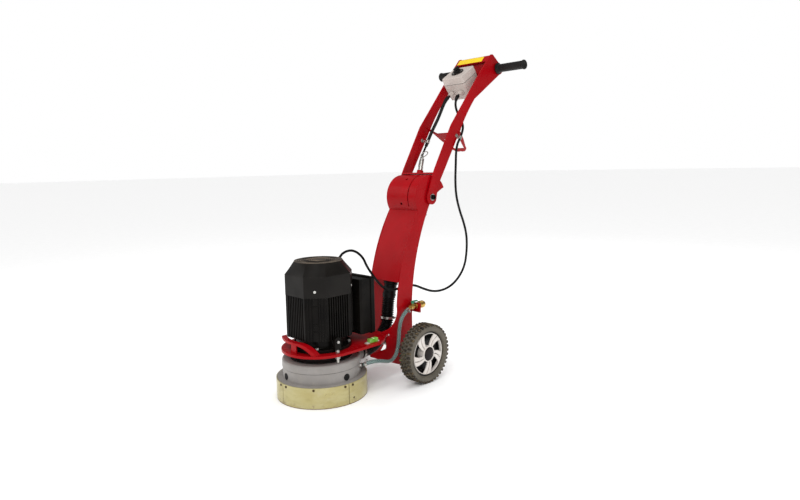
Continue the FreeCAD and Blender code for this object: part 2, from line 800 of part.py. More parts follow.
def drive_hub():
    """Hub clamped on the shaft's lower end, with the flange that carries the disc."""
    body = new_body("drive_hub")
    low = size("disc_low") + size("disc_sheet")
    slim = size("shaft_radius")
    section = sketch_on(body, "XZ_Plane")
    draw(section, [
        (0, low), (46, low), (46, low + 9), (27, low + 9), (24, low + 11, 22, low + 15),
        (22, 112), (slim, 112), (slim, 92), (0, 92),
    ])
    turn_about(body, "Revolution", section)
    place(body)


def grinding_disc():
    """Steel disc with a vent hole between each two segments."""
    body = new_body("grinding_disc")
    face = sketch_on(body, "XY_Plane", offset=size("disc_low"))
    draw_circle(face, "disc_radius")
    grow(body, "Pad", face, "disc_sheet")
    vent = sketch_on(body, "XY_Plane")
    draw_circle(vent, 8.0, *polar(75, 30, 0)[:2])
    doc.recompute()
    repeat(body, grow(body, "Pocket", vent, 60.0), "segment_count")
    place(body)


def diamond_segments():
    """Abrasive blocks brazed under the disc."""
    solids = []
    low = size("segment_low")
    for step in range(int(size("segment_count"))):
        outline = edges_of(sector_outline(92, 120, 360 / size("segment_count") * step, 9))
        face = Part.Face(Part.Wire([edge.toShape() for edge in outline]))
        face.translate(Vector(0, 0, low))
        solids.append(face.extrude(Vector(0, 0, size("disc_low") - low)))
    place(group("diamond_segments", solids))


# ---------------------------------------------------------------- column

def ring_spot(radius, forward):
    """A point at an angle forward of vertical, as (y, z) from the pivot."""
    turned = math.radians(forward)
    return -radius * math.sin(turned), radius * math.cos(turned)


def drum_spot(radius, forward):
    """The same point in the machine's frame."""
    y, z = ring_spot(radius, forward)
    return size("pivot_y") + y, size("pivot_z") + z


def column_side(label, inner):
    """Side plate: foot on the base plate, axle ear below and a round head about the pivot."""
    body = new_body(label)
    plate_low = size("plate_low")
    plate_top = plate_low + size("plate_sheet")
    drum = size("drum_radius")
    outline = sketch_on(body, "YZ_Plane", offset=inner)
    draw(outline, [
        (130, plate_top), (190, 167, 229, 171), (262, 190, 276, 243), (317, 427) + drum_spot(drum, 123),
        drum_spot(drum, 28) + drum_spot(drum, -66), (488, 622, 452, 588), (381, 420, 350, 242),
        (349, 110), (334, 56, 284, 36), (241, 54), (189, 76), (148, 96), (148, 104), (214, 106),
        (220, 108, 222, 114), (222, plate_low), (237, plate_low), (237, plate_top),
    ])
    grow(body, "Pad", outline, "side_sheet")
    bores = sketch_on(body, "YZ_Plane", offset=inner - 5)
    draw_circle(bores, 13.0, size("pivot_y"), size("pivot_z"))
    draw_circle(bores, "axle_radius", size("axle_y"), size("axle_z"))
    grow(body, "Pocket", bores, 20.0)
    if inner > 0:
        tab = sketch_on(body, "XZ_Plane", offset=-349.5)
        low = size("valve_z") - 22
        high = size("valve_z") + 10.5
        draw(tab, [(inner, low), (110, low), (110, high), (inner, high)])
        grow(body, "Pad", tab, 5.0, away=True)
        hole = sketch_on(body, "XZ_Plane", offset=-340.0)
        draw_circle(hole, 8.2, size("valve_x"), size("valve_z"))
        grow(body, "Pocket", hole, 30.0, away=True)
    body.Tip = body.Group[-1]
    place(body)


def column_front_cover():
    """Curved sheet between the side plates' front edges, open below."""
    body = new_body("column_front_cover")
    outline = sketch_on(body, "YZ_Plane")
    end_y, end_z = drum_spot(size("drum_radius"), 122.9)
    draw(outline, [
        (285.5, 325), (323, 439, end_y, end_z), (end_y + 3, end_z - 1.6), (326, 438, 288.5, 325),
    ])
    grow(body, "Pad", outline, 2 * size("side_gap") - 0.1, both=True)
    place(body)


def drum_cover():
    """Round sheet about the pivot, with index holes on its middle line and a slot beside them."""
    body = new_body("drum_cover")
    outer = size("drum_radius")
    inner = outer - size("drum_sheet")
    outline = sketch_on(body, "YZ_Plane")
    draw(outline, [
        ring_spot(outer, 122.5), ring_spot(outer, 28) + ring_spot(outer, -66),
        ring_spot(inner, -66), ring_spot(inner, 28) + ring_spot(inner, 122.5),
    ])
    grow(body, "Pad", outline, 2 * size("side_gap") - 0.1, both=True)
    slot = sketch_on(body, "YZ_Plane", offset=33.0)
    draw(slot, [
        ring_spot(outer + 3, 112), ring_spot(outer + 3, 56) + ring_spot(outer + 3, 0),
        ring_spot(inner - 3, 0), ring_spot(inner - 3, 56) + ring_spot(inner - 3, 112),
    ])
    grow(body, "Pocket", slot, 4.0)
    for forward in (-size("index_tilt"), 35.1, 105.6):
        hole = sketch_on(body, "XY_Plane", offset=outer - 15, tilt=forward)
        draw_circle(hole, 5.0)
        grow(body, "Pocket", hole, 30.0)
    body.Tip = body.Group[-1]
    place(body, (0, size("pivot_y"), size("pivot_z")))


def pivot_tube():
    """Tube through the drum that the handle turns on, with a spacer ring inside each arm."""
    y, z = size("pivot_y"), size("pivot_z")
    plate_outer = size("side_gap") + size("side_sheet")
    arm_outer = size("arm_inner") + size("arm_sheet")
    tube_end = arm_outer + 0.3
    core = cylinder(size("pivot_radius"), (-tube_end, y, z), (tube_end, y, z))
    hub = cylinder(13.0, (-plate_outer, y, z), (plate_outer, y, z))
    bore = cylinder(5.0, (-100, y, z), (100, y, z))
    spacers = []
    for side in (-1, 1):
        ring = cylinder(17.0, (side * plate_outer, y, z), (side * (size("arm_inner") - 0.3), y, z))
        spacers.append(ring)
    place(group("pivot_tube", [core.fuse([hub] + spacers).cut(bore).removeSplitter()]))


def pivot_screws():
    """A washer and a socket-head screw at each end of the pivot tube, as solids."""
    y, z = size("pivot_y"), size("pivot_z")
    tube_end = size("arm_inner") + size("arm_sheet") + 0.3
    solids = []
    for side in (-1, 1):
        washer = cylinder(12.5, (side * tube_end, y, z), (side * (tube_end + 2), y, z))
        head = cylinder(9.0, (side * (tube_end + 2), y, z), (side * (tube_end + 9), y, z))
        shank = cylinder(4.9, (side * (tube_end - 25), y, z), (side * (tube_end + 2), y, z))
        socket = cylinder(4.0, (side * (tube_end + 4), y, z), (side * (tube_end + 12), y, z))
        solids.append(washer.fuse([head, shank]).cut(socket))
    return solids


def fixing_screws():
    """All the screws that stay with the chassis, each a solid of one node."""
    place(group("fixing_screws", skirt_screws() + motor_screws() + pivot_screws()))


def axle():
    """Round bar through the side plates, with a collar inside and a clip outside each wheel."""
    y, z = size("axle_y"), size("axle_z")
    inside = size("wheel_inner")
    bar = cylinder(size("axle_radius"), (-199, y, z), (199, y, z))
    rings = []
    for side in (-1, 1):
        rings.append(cylinder(15.0, (side * (inside - 7), y, z), (side * (inside - 0.5), y, z)))
        rings.append(cylinder(13.0, (side * 196.4, y, z), (side * 198.4, y, z)))
    place(group("axle", [bar.fuse(rings)]))


# ---------------------------------------------------------------- wheels

def tyre(label, side):
    """Rubber tyre on its rim's barrel, with a block tread."""
    body = new_body(label)
    root = size("tyre_root")
    outer = size("tyre_radius")
    seat = size("tyre_seat")
    low = size("wheel_inner")
    high = low + size("wheel_width")
    section = sketch_on(body, "XZ_Plane")
    draw(section, [
        (seat, low + 3), (seat + 4, low), (84, low), (91, low + 1, root, low + 7), (root, high - 7),
        (91, high - 1, 84, high), (seat + 4, high), (seat, high - 3),
    ])
    turn_about(body, "Revolution", section)
    lugs = sketch_on(body, "XY_Plane", offset=low + 3)
    half_angle = 0.31 * 360 / size("lug_count")
    draw(lugs, sector_outline(root - 1.5, outer, 90.0, half_angle))
    doc.recompute()
    repeat(body, grow(body, "Pad", lugs, size("wheel_width") - 6), "lug_count")
    place(body, (0, size("axle_y"), size("axle_z")), Y_AXIS, 90 * side)


def rim(label, side):
    """Moulded rim: barrel, hub with a bore closed by its cap, and a face with five windows."""
    body = new_body(label)
    low = size("wheel_inner")
    high = low + size("wheel_width")
    seat = size("tyre_seat") - 0.1
    bore = size("wheel_bore")
    section = sketch_on(body, "XZ_Plane")
    draw(section, [
        (bore, low + 1), (20, low + 1), (20, high - 16), (seat - 4, high - 16), (seat - 4, low + 3),
        (seat, low + 3), (seat, high - 3), (seat - 3, high - 2), (seat - 4, high - 8), (24, high - 6),
        (23, high - 1), (0, high - 0.5), (0, high - 6), (15, high - 6), (15, high - 11), (bore, high - 11),
    ])
    turn_about(body, "Revolution", section)
    window = sketch_on(body, "XY_Plane", offset=high - 30)
    draw(window, sector_outline(28, seat - 6, 90.0, 17.0))
    doc.recompute()
    repeat(body, grow(body, "Pocket", window, 60.0), 5)
    place(body, (0, size("axle_y"), size("axle_z")), Y_AXIS, 90 * side)


# ---------------------------------------------------------------- dust and water lines

HOSE_ROUTE = [(0, 160, 95), (0, 222, 95), (0, 292, 152), (0, 299, 210), (0, 303.5, 248), (0, 308, 268)]


def dust_hose():
    """Corrugated hose, drawn as its plain outer tube, from the spigot up between the side plates."""
    place(tube("dust_hose", HOSE_ROUTE, size("hose_radius"), size("hose_bore") - 0.5))


def dust_cuff():
    """Plain cuff on the hose's upper end: a vacuum cleaner's hose pushes into its bore."""
    body = new_body("dust_cuff")
    section = sketch_on(body, "XZ_Plane")
    bore = size("hose_bore")
    draw(section, [
        (bore, 0), (24.0, 0), (24.0, 6), (22.5, 8), (22.5, 38), (25.5, 40), (25.5, 52), (bore, 52),
    ])
    turn_about(body, "Revolution", section)
    _, back, up = vector_between(HOSE_ROUTE, -2, -1)
    place(body, HOSE_ROUTE[-1], X_AXIS, -math.degrees(math.atan2(back, up)))


def clamp_band(radius, at, along, screw_side):
    """A worm clamp: a band with its screw housing beside it."""
    at = Vector(*at)
    along = Vector(*along).normalize()
    start = at - along * 4
    band = cylinder(radius + 1.4, start, start + along * 8, radius + 0.2)
    outward = Vector(*screw_side).normalize()
    across = along.cross(outward)
    barrel_at = at + outward * (radius + 4.4)
    barrel = cylinder(3.6, barrel_at - across * 6, barrel_at + across * 6)
    foot = cylinder(2.2, at + outward * (radius + 0.7), at + outward * (radius + 4.4))
    return band.fuse([barrel, foot])


def hose_clamps():
    """Worm clamps on the dust hose and on both ends of the water hose."""
    big = size("hose_radius")
    small = size("water_radius")
    solids = [
        clamp_band(big, (0, 172, 95), (0, 1, 0), (0.6, 0, 0.8)),
        clamp_band(big, (0, 296.6, 190), (0, 7, 58), (0.9, 0.4, 0)),
        clamp_band(small, WATER_ROUTE[0], vector_between(WATER_ROUTE, 0, 1), (0, 0.2, 1)),
        clamp_band(small, WATER_ROUTE[-1], vector_between(WATER_ROUTE, -2, -1), (1, 0, 0)),
    ]
    shift = [Vector(*vector_between(WATER_ROUTE, 0, 1)).normalize() * 8]
    shift.append(Vector(*vector_between(WATER_ROUTE, -1, -2)).normalize() * 8)
    solids[2].translate(shift[0])
    solids[3].translate(shift[1])
    place(group("hose_clamps", solids))


def vector_between(points, first, second):
    """The way from one route point to another."""
    return tuple(b - a for a, b in zip(points[first], points[second]))


WATER_ROUTE = [
    (104, 88, 92), (122, 103, 102), (124, 133, 97), (118, 163, 88), (110, 192, 78), (103, 218, 75),
    (98, 240, 87), (94, 254, 109), (92, 261, 138), (91, 265, 168), (90, 274, 197), (90, 291, 219),
    (90, 313, 231),
]


def water_hose():
    place(tube("water_hose", WATER_ROUTE, size("water_radius")))


def water_fitting():
    """Barbed elbow from the housing into the water hose."""
    start = Vector(*WATER_ROUTE[0])
    ahead = Vector(*vector_between(WATER_ROUTE, 0, 1)).normalize()
    elbow = start - ahead * 6
    wall = Vector(elbow.x, elbow.y, 0).normalize() * (size("housing_radius") - 3)
    base = cylinder(7.5, (wall.x, wall.y, elbow.z), elbow)
    spout = cylinder(6.0, elbow, start)
    place(group("water_fitting", [base.fuse([spout, Part.makeSphere(7.5, elbow)])]))


def valve_body():
    """Brass ball valve and hose connector, held in the side plate's tab."""
    x, z = size("valve_x"), size("valve_z")
    tail = cylinder(5.6, WATER_ROUTE[-1], (x, 324, z))
    ball = Part.makeSphere(10.0, Vector(x, 334, z))
    barrel = cylinder(8.6, (x, 322, z), (x, 348, z))
    nut = hexagon(20, 0, 1.6, 0, 0)
    nut.rotate(Vector(0, 0, 0), X_AXIS, -90)
    nut.translate(Vector(x, 347.8, z))
    shank = cylinder(8.0, (x, 346, z), (x, 362, z))
    rear_nut = cylinder(11.0, (x, 354.6, z), (x, 359, z))
    connector = cylinder(9.5, (x, 358, z), (x, 391, z))
    stem = cylinder(3.5, (x, 334, z + 6), (x, 334, z + 17))
    bore = cylinder(size("inlet_bore"), (x, 370, z), (x, 400, z))
    body = tail.fuse([ball, barrel, nut, shank, rear_nut, connector, stem]).cut(bore)
    place(group("valve_body", [body.removeSplitter()]))


def valve_lever():
    """Lever on the valve's stem, along the valve when open."""
    body = new_body("valve_lever")
    outline = sketch_on(body, "XY_Plane")
    draw(outline, [(-6, 0), (0, -6, 6, 0), (5, 20), (0, 25, -5, 20)])
    grow(body, "Pad", outline, 3.0)
    hub = sketch_on(body, "XY_Plane", offset=-5.0)
    draw_circle(hub, 5.5)
    grow(body, "Pad", hub, 6.0)
    bore = sketch_on(body, "XY_Plane", offset=-8.0)
    draw_circle(bore, 3.55)
    grow(body, "Pocket", bore, 9.5)
    place(body, (size("valve_x"), 334, size("valve_z") + 15.8))


def coupling_sleeve():
    """Knurled collar of the hose connector, pulled towards the valve to let a hose go."""
    body = new_body("coupling_sleeve")
    section = sketch_on(body, "XZ_Plane")
    draw(section, [
        (9.56, 0), (12.0, 0), (13.0, 2), (13.0, 7), (12.2, 8.5), (13.0, 10), (13.0, 19), (12.0, 22),
        (9.56, 22),
    ])
    turn_about(body, "Revolution", section)
    place(body, (size("valve_x"), 365, size("valve_z")), X_AXIS, -90)


# ---------------------------------------------------------------- handle

def handle_arm(label, side):
    """Bent arm cut from plate, with the handlebar tube for one grip welded on."""
    body = new_body(label)
    inner = size("arm_inner")
    near = inner if side > 0 else -inner - size("arm_sheet")
    outline = sketch_on(body, "YZ_Plane", offset=near)
    draw(outline, [
        (432, 618), (457, 680), (477, 717), (569, 872), (639, 954, 732, 1065), (810, 1149),
        (820, 1154, 830, 1150), (862, 1127), (886, 1110, 889, 1096), (882, 1087, 868, 1080),
        (707, 975), (658, 915, 620, 857), (500, 669), (484, 630, 478, 604), (456, 585, 432, 618),
    ])
    grow(body, "Pad", outline, "arm_sheet")
    stub = sketch_on(body, "YZ_Plane", offset=side * (inner + 1))
    draw_circle(stub, "stub_radius", size("grip_y"), size("grip_z"))
    grow(body, "Pad", stub, size("grip_end") - inner - 8, away=side < 0)
    bore = sketch_on(body, "YZ_Plane", offset=near - 2)
    draw_circle(bore, "pivot_hole", size("pivot_y"), size("pivot_z"))
    grow(body, "Pocket", bore, 12.0)
    body.Tip = body.Group[-1]
    place(body)


def cross_plates():
    """Plates welded between the arms: over the switch, behind its box and at the plunger."""
    half = size("arm_inner")
    top = Part.makeBox(2 * half, 32, 5, Vector(-half, 30, -5))
    top.rotate(Vector(0, 0, 0), X_AXIS, math.degrees(math.atan2(84, 78)))
    top.translate(Vector(0, 768, 1104))
    rear = Part.makeBox(2 * half, 4, 40, Vector(-half, size("switch_long") + 0.5, -48))
    rear.rotate(Vector(0, 0, 0), X_AXIS, size("switch_tilt"))
    rear.translate(Vector(0, size("switch_y"), size("switch_z")))
    back = Part.makeBox(2 * half, 4, 62, Vector(-half, 804, 1078))
    top = top.fuse(back)
    low = Part.makeBox(2 * half, 48, 6, Vector(-half, -14, 82))
    low = low.fuse(cylinder(12.0, (0, 0, 87), (0, 0, 99), 9.05))
    low = low.cut(cylinder(4.3, (0, 0, 70), (0, 0, 100)))
    low.rotate(Vector(0, 0, 0), X_AXIS, -size("index_tilt"))
    low.translate(Vector(0, size("pivot_y"), size("pivot_z")))
    place(group("cross_plates", [top, rear, low]))


def brace_plate():
    """Flat plate across the arms that narrows to the rear, with a hand hole."""
    body = new_body("brace_plate")
    outline = sketch_on(body, "XY_Plane")
    draw(outline, [
        (75, 0), (75, 48), (66, 55), (54, 100), (36, 145), (24, 165, 0, 166), (-24, 165, -36, 145),
        (-54, 100), (-66, 55), (-75, 48), (-75, 0), (-66, 40, -50, 60), (50, 60), (66, 40, 75, 0),
    ])
    grow(body, "Pad", outline, "brace_sheet")
    hole = sketch_on(body, "XY_Plane", offset=-5.0)
    draw(hole, [
        (-38, 92), (38, 92), (41, 96, 38, 101), (28, 146), (25, 152, 18, 153), (-18, 153),
        (-25, 152, -28, 146), (-38, 101), (-41, 96, -38, 92),
    ])
    grow(body, "Pocket", hole, 20.0)
    body.Tip = body.Group[-1]
    place(body, (0, size("brace_y"), size("brace_z")), X_AXIS, -size("brace_slope"))


def grip(side):
    """Ribbed rubber grip with a flange at its inner end, as a solid of the grips' node."""
    body = new_body("grip")
    radius = size("grip_radius")
    start = size("grip_start")
    end = size("grip_end")
    bore = size("stub_radius") + 0.05
    section = sketch_on(body, "XZ_Plane")
    draw(section, [
        (bore, start), (size("grip_flange"), start), (size("grip_flange"), start + 4),
        (radius + 1, start + 6), (radius, start + 10), (radius, end - 9), (radius + 2.5, end - 6),
        (radius + 2.5, end - 2), (radius, end), (0, end), (0, end - 5), (bore, end - 5),
    ])
    turn_about(body, "Revolution", section)
    doc.recompute()
    turned = body.Shape.copy()
    turned.Placement = Placement(Vector(0, size("grip_y"), size("grip_z")), Rotation(Y_AXIS, 90 * side))
    return turned


def grips():
    place(group("grips", [grip(1), grip(-1)]))


def in_switch_frame(node):
    """Place a piece drawn in the switch box's own frame, its parting line at z = 0."""
    return place(node, (0, size("switch_y"), size("switch_z")), X_AXIS, size("switch_tilt"))


def switch_box_base():
    """Moulded base, drawn in towards its bottom, with two holes for the cable glands."""
    body = new_body("switch_box_base")
    half = size("switch_half")
    long = size("switch_long")
    outline = sketch_on(body, "XY_Plane", offset=-0.8)
    draw(outline, box_outline(half, long, 10))
    grow(body, "Pad", outline, "switch_depth", away=True, taper=-6.0)
    hollow = sketch_on(body, "XY_Plane", offset=0.2)
    draw(hollow, box_outline(half - 4, long - 4, 7))
    grow(body, "Pocket", hollow, size("switch_depth") - 3, away=True, taper=-6.0)
    for x in (-23, 23):
        hole = sketch_on(body, "XZ_Plane", offset=long - 15)
        draw_circle(hole, 7.0, x, -36)
        grow(body, "Pocket", hole, 40.0)
    body.Tip = body.Group[-1]
    in_switch_frame(body)


def switch_box_lid():
    """Moulded lid with a raised boss for the switch."""
    body = new_body("switch_box_lid")
    half = size("switch_half")
    long = size("switch_long")
    high = size("switch_lid")
    outline = sketch_on(body, "XY_Plane", offset=0.8)
    draw(outline, box_outline(half, long, 10))
    block = grow(body, "Pad", outline, high - 0.8, taper=-4.0)
    blend_edges(body, block, "Fillet", 3.0, lambda edge: edge.BoundBox.ZMin > high - 0.1)
    hollow = sketch_on(body, "XY_Plane", offset=0.5)
    draw(hollow, box_outline(half - 4, long - 4, 7))
    grow(body, "Pocket", hollow, high - 4, taper=-4.0)
    boss = sketch_on(body, "XY_Plane", offset=high - 1)
    draw_circle(boss, 22.0)
    grow(body, "Pad", boss, 4.0)
    stem = sketch_on(body, "XY_Plane", offset=high)
    draw_circle(stem, 4.0)
    grow(body, "Pad", stem, 10.0)
    body.Tip = body.Group[-1]
    in_switch_frame(body)


def switch_knob():
    """Rotary knob with a finger bar across it."""
    body = new_body("switch_knob")
    low = size("switch_lid") + 3.4
    disc = sketch_on(body, "XY_Plane", offset=low)
    draw_circle(disc, "knob_radius")
    grow(body, "Pad", disc, 7.0)
    bar = sketch_on(body, "XY_Plane", offset=low + 6)
    draw(bar, box_outline(4.5, 14, 3))
    grow(body, "Pad", bar, 12.0)
    bore = sketch_on(body, "XY_Plane", offset=low - 1)
    draw_circle(bore, 4.05)
    grow(body, "Pocket", bore, 9.0)
    body.Tip = body.Group[-1]
    in_switch_frame(body)


def switch_seals():
    """Thin gasket between the box's halves and two cable glands in its lower end."""
    half = size("switch_half")
    long = size("switch_long")
    outside = edges_of(box_outline(half - 0.8, long - 0.8, 9.2))
    inside = edges_of(box_outline(half - 4, long - 4, 7))
    rings = [Part.Wire([edge.toShape() for edge in edges]) for edges in (outside, inside)]
    gasket = Part.Face(rings[0]).cut(Part.Face(rings[1]))
    gasket.translate(Vector(0, 0, -0.8))
    solids = [gasket.extrude(Vector(0, 0, 1.6))]
    for x in (-23, 23):
        collar = cylinder(6.9, (x, -36, -36), (x, -50, -36))
        ring = cylinder(11.0, (x, -48.5, -36), (x, -56, -36))
        nut = Part.makeCone(10.0, 7.6, 14, Vector(x, -55, -36), Vector(0, -1, 0))
        bore = cylinder(4.35 if x > 0 else 4.05, (x, -30, -36), (x, -80, -36))
        solids.append(collar.fuse([ring, nut]).cut(bore))
    in_switch_frame(group("switch_seals", solids))


def in_plunger_frame(node):
    """Place a piece drawn on the index plunger's line, its z measured from the pivot."""
    return place(node, (0, size("pivot_y"), size("pivot_z")), X_AXIS, -size("index_tilt"))


def plunger_housing():
    """Sprung plunger's body on the lower cross plate."""
    body = new_body("plunger_housing")
    section = sketch_on(body, "XZ_Plane")
    bore = size("pin_bore")
    draw(section, [
        (bore, 88), (9, 88), (9, 112), (7.8, 113), (7.8, 136), (7, 138), (bore, 138),
    ])
    turn_about(body, "Revolution", section)
    in_plunger_frame(body)


def index_pin():
    """Pin with a head above the housing and an eye for the pull ring."""
    low = size("drum_radius") + 0.6
    radius = size("pin_radius")
    pin = Part.makeCylinder(radius, 139 - low, Vector(0, 0, low))
    head = Part.makeCylinder(7.5, 6, Vector(0, 0, 138.3))
    neck = Part.makeCylinder(3.5, 6, Vector(0, 0, 143))
    eye = cylinder(5.0, (-1.8, 0, 151), (1.8, 0, 151))
    hole = cylinder(1.95, (-6, 0, 151), (6, 0, 151))
    in_plunger_frame(group("index_pin", [pin.fuse([head, neck, eye]).cut(hole)]))


def pull_ring():
    """Wire ring through the pin's eye, leaning back on it."""
    reach = 14.0
    lean = math.radians(31.0)
    middle = Vector(0, reach * math.sin(lean), 151 + reach * math.cos(lean))
    upright = Vector(0, -math.cos(lean), math.sin(lean))
    in_plunger_frame(group("pull_ring", [Part.makeTorus(reach, 1.7, middle, upright)]))


def p_clip(radius, at, along, arm_x):
    """A clip's band about a cable, with its foot on an arm's face and a screw through it."""
    at = Vector(*at)
    along = Vector(*along).normalize()
    start = at - along * 6
    band = cylinder(radius + 1.9, start, start + along * 12, radius + 0.4)
    toward = Vector(arm_x - at.x, 0, 0).normalize()
    ahead = along.cross(toward).normalize()
    if ahead.y > 0:
        ahead = ahead * -1
    foot_at = Vector(arm_x, at.y, at.z) - toward * 1.6 + ahead * 14
    foot = Part.makeCylinder(7.0, 1.5, foot_at, toward)
    strip_at = at + toward * (radius + 1.6)
    strip = cylinder(1.2, strip_at - along * 3, foot_at - along * 3 + toward * 0.6)
    brace = cylinder(1.2, strip_at + along * 3, foot_at + along * 3 + toward * 0.6)
    head = Part.makeCylinder(4.5, 3.0, foot_at, toward * -1)
    return band.fuse([foot, head, strip, brace])


def cable_clips():
    """Clips that hold the supply cord's sleeve and the motor cable to the arms."""
    inner = size("arm_inner")
    outer = inner + size("arm_sheet")
    solids = [
        p_clip(size("sleeve_radius"), (-56.6, 587.2, 815), (3, 17, 35), -inner),
        p_clip(size("cable_radius"), (89.3, 606, 824.5), (-0.5, 20, 28), outer),
    ]
    place(group("cable_clips", solids))


# ---------------------------------------------------------------- cords

SUPPLY_ROUTE = [
    (-23, 680.6, 992), (-24, 664, 981.5), (-30, 651, 955), (-35, 639, 926), (-40, 626, 897),
    (-48, 611, 866), (-55, 596, 833), (-58, 579, 798), (-60, 557, 762), (-60, 540, 726),
    (-57, 540, 686), (-54, 551, 650), (-53, 556, 615), (-53, 552, 586),
]
MOTOR_UPPER_ROUTE = [
    (23, 680.6, 992), (27, 662, 980), (37, 643, 951), (52, 636, 922), (68, 638, 895), (82, 635, 868),
    (89, 617, 840), (89.5, 597, 812),
]
MOTOR_LOOP_ROUTE = [
    (89.5, 596, 810.6), (89.6, 589, 801), (88, 583, 774), (86, 583, 724), (82, 584, 668), (80, 590, 612), (77, 612, 556),
    (75, 640, 506), (72, 661, 454), (69, 665, 396), (66, 650, 340), (63, 614, 297), (61, 569, 273),
    (60, 519, 266), (60, 472, 271), (60, 425, 286), (58, 377, 302), (56, 330, 305), (45, 288, 294),
    (25, 264, 301), (4, 255, 320), (-16, 247, 346), (-35, 236, 378), (-49, 221, 410), (-58, 198, 433),
    (-61, 170, 440), (-61, 145, 430), (-60, 130, 407), (-60, 126, 380),
]


def cords():
    """Supply cord with its sleeve and plug, and the motor cable above and below its clip."""
    place(tube("supply_cord", SUPPLY_ROUTE, size("supply_radius")))
    place(tube("cord_sleeve", SUPPLY_ROUTE[1:8], size("sleeve_radius"), size("supply_radius") + 1.0))
    place(tube("motor_cable_upper", MOTOR_UPPER_ROUTE, size("cable_radius")))
    place(tube("motor_cable_loop", MOTOR_LOOP_ROUTE, size("cable_radius")))


def supply_plug():
    """Straight plug on the supply cord's end, with three round pins."""
    body = new_body("supply_plug")
    section = sketch_on(body, "XZ_Plane")
    draw(section, [(0, 0), (6, 0), (9, 14), (16, 22), (17, 40), (17, 52), (0, 52)])
    turn_about(body, "Revolution", section)
    pin = sketch_on(body, "XY_Plane", offset=50.0)
    draw_circle(pin, 2.6, 8.5, 0)
    doc.recompute()
    repeat(body, grow(body, "Pad", pin, 20.0), 3)
    place(body, SUPPLY_ROUTE[-1], X_AXIS, 180 - math.degrees(math.atan2(4, 29)))


# ---------------------------------------------------------------- assembly

def build():
    head_housing()
    housing_plugs()
    rubber_ring()
    whole = 360.0
    sweep = size("seam_rear") - size("seam_front")
    seam_gap = 0.8
    skirt_part("skirt_segment", size("seam_front") + seam_gap, sweep - 2 * seam_gap)
    skirt_part("skirt_band", size("seam_rear"), whole - sweep)
    base_plate()
    front_grip()
    levelling_studs()
    spirit_level()
    motor_end_bell()
    stator_frame()
    stator_core()
    motor_end_shield()
    fan_cover()
    motor_bearings()
    capacitor_box()
    capacitor_box_lid()
    motor_shaft()
    rotor_core()
    cooling_fan()
    drive_hub()
    grinding_disc()
    diamond_segments()
    column_side("column_side_left", size("side_gap"))
    column_side("column_side_right", -size("side_gap") - size("side_sheet"))
    column_front_cover()
    drum_cover()
    pivot_tube()
    fixing_screws()
    axle()
    for name, side in (("left", 1), ("right", -1)):
        tyre("tyre_" + name, side)
        rim("rim_" + name, side)
        handle_arm("handle_arm_" + name, side)
    grips()
    dust_hose()
    dust_cuff()
    hose_clamps()
    water_fitting()
    water_hose()
    valve_body()
    valve_lever()
    coupling_sleeve()
    cross_plates()
    brace_plate()
    switch_box_base()
    switch_box_lid()
    switch_seals()
    switch_knob()
    plunger_housing()
    index_pin()
    pull_ring()
    cable_clips()
    supply_plug()
    cords()


def check_and_export():
    """Stop on any failed object or bad solid, then write one file for each node."""
    doc.recompute()
    failed = [item.Name for item in doc.Objects if {"Invalid", "Error"} & set(item.State)]
    if failed:
        raise SystemExit("failed objects: " + ", ".join(failed))
    for node in nodes:
        shape = node.Shape
        if shape.isNull() or not shape.isValid() or not shape.Solids:
            raise SystemExit("bad solid: " + node.Label)
    for node in nodes:
        node.Shape.exportStep(f"parts/{node.Label}.step")
    print(len(nodes), "nodes")


build()
check_and_export()
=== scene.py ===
"""Looks of a walk-behind concrete grinder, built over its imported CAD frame.

Everything is in metres, with Z up. The grinding head is at -Y and the handle at +Y.
"""
import json
import math
import random

import bmesh
import bpy
from mathutils import Matrix, Vector


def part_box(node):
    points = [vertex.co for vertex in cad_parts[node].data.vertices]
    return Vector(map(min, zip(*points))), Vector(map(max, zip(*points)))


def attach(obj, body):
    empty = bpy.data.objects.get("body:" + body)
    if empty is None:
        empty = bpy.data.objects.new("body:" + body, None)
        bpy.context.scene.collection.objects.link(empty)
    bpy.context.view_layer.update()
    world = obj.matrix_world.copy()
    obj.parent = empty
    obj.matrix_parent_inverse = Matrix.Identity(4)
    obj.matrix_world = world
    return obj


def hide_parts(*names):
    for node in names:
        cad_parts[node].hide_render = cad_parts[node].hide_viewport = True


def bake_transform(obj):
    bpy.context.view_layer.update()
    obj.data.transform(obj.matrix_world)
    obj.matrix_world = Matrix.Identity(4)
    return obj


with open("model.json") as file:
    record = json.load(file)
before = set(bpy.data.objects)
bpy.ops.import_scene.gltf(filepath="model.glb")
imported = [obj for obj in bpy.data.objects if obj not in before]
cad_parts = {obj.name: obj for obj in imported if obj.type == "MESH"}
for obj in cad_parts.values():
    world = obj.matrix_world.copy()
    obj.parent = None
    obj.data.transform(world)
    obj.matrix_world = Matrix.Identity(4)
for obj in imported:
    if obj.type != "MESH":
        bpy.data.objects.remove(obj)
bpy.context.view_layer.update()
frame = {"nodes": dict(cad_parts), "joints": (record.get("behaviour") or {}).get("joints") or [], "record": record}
random.seed(7)

X_AXIS = Vector((1, 0, 0))
Y_AXIS = Vector((0, 1, 0))
Z_AXIS = Vector((0, 0, 1))


def middle_of(node):
    low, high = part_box(node)
    return (low + high) / 2


joints = {joint["name"]: joint for joint in frame["joints"]}
HEAD = Vector(joints["spindle_spin"]["pos_m"])
PIVOT = Vector(joints["handle_fold"]["pos_m"])
WHEEL = Vector(joints["wheel_left_spin"]["pos_m"])
SWITCH = Vector(joints["switch_turn"]["pos_m"])
SWITCH_OUT = Vector(joints["switch_turn"]["axis"])
SWITCH_TILT = math.atan2(-SWITCH_OUT.y, SWITCH_OUT.z)
WHEEL_WIDTH = 0.048
WHEEL_INNER = middle_of("tyre_left").x - WHEEL_WIDTH / 2
COVER_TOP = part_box("fan_cover")[1].z

# ---------------------------------------------------------------- camera and stage

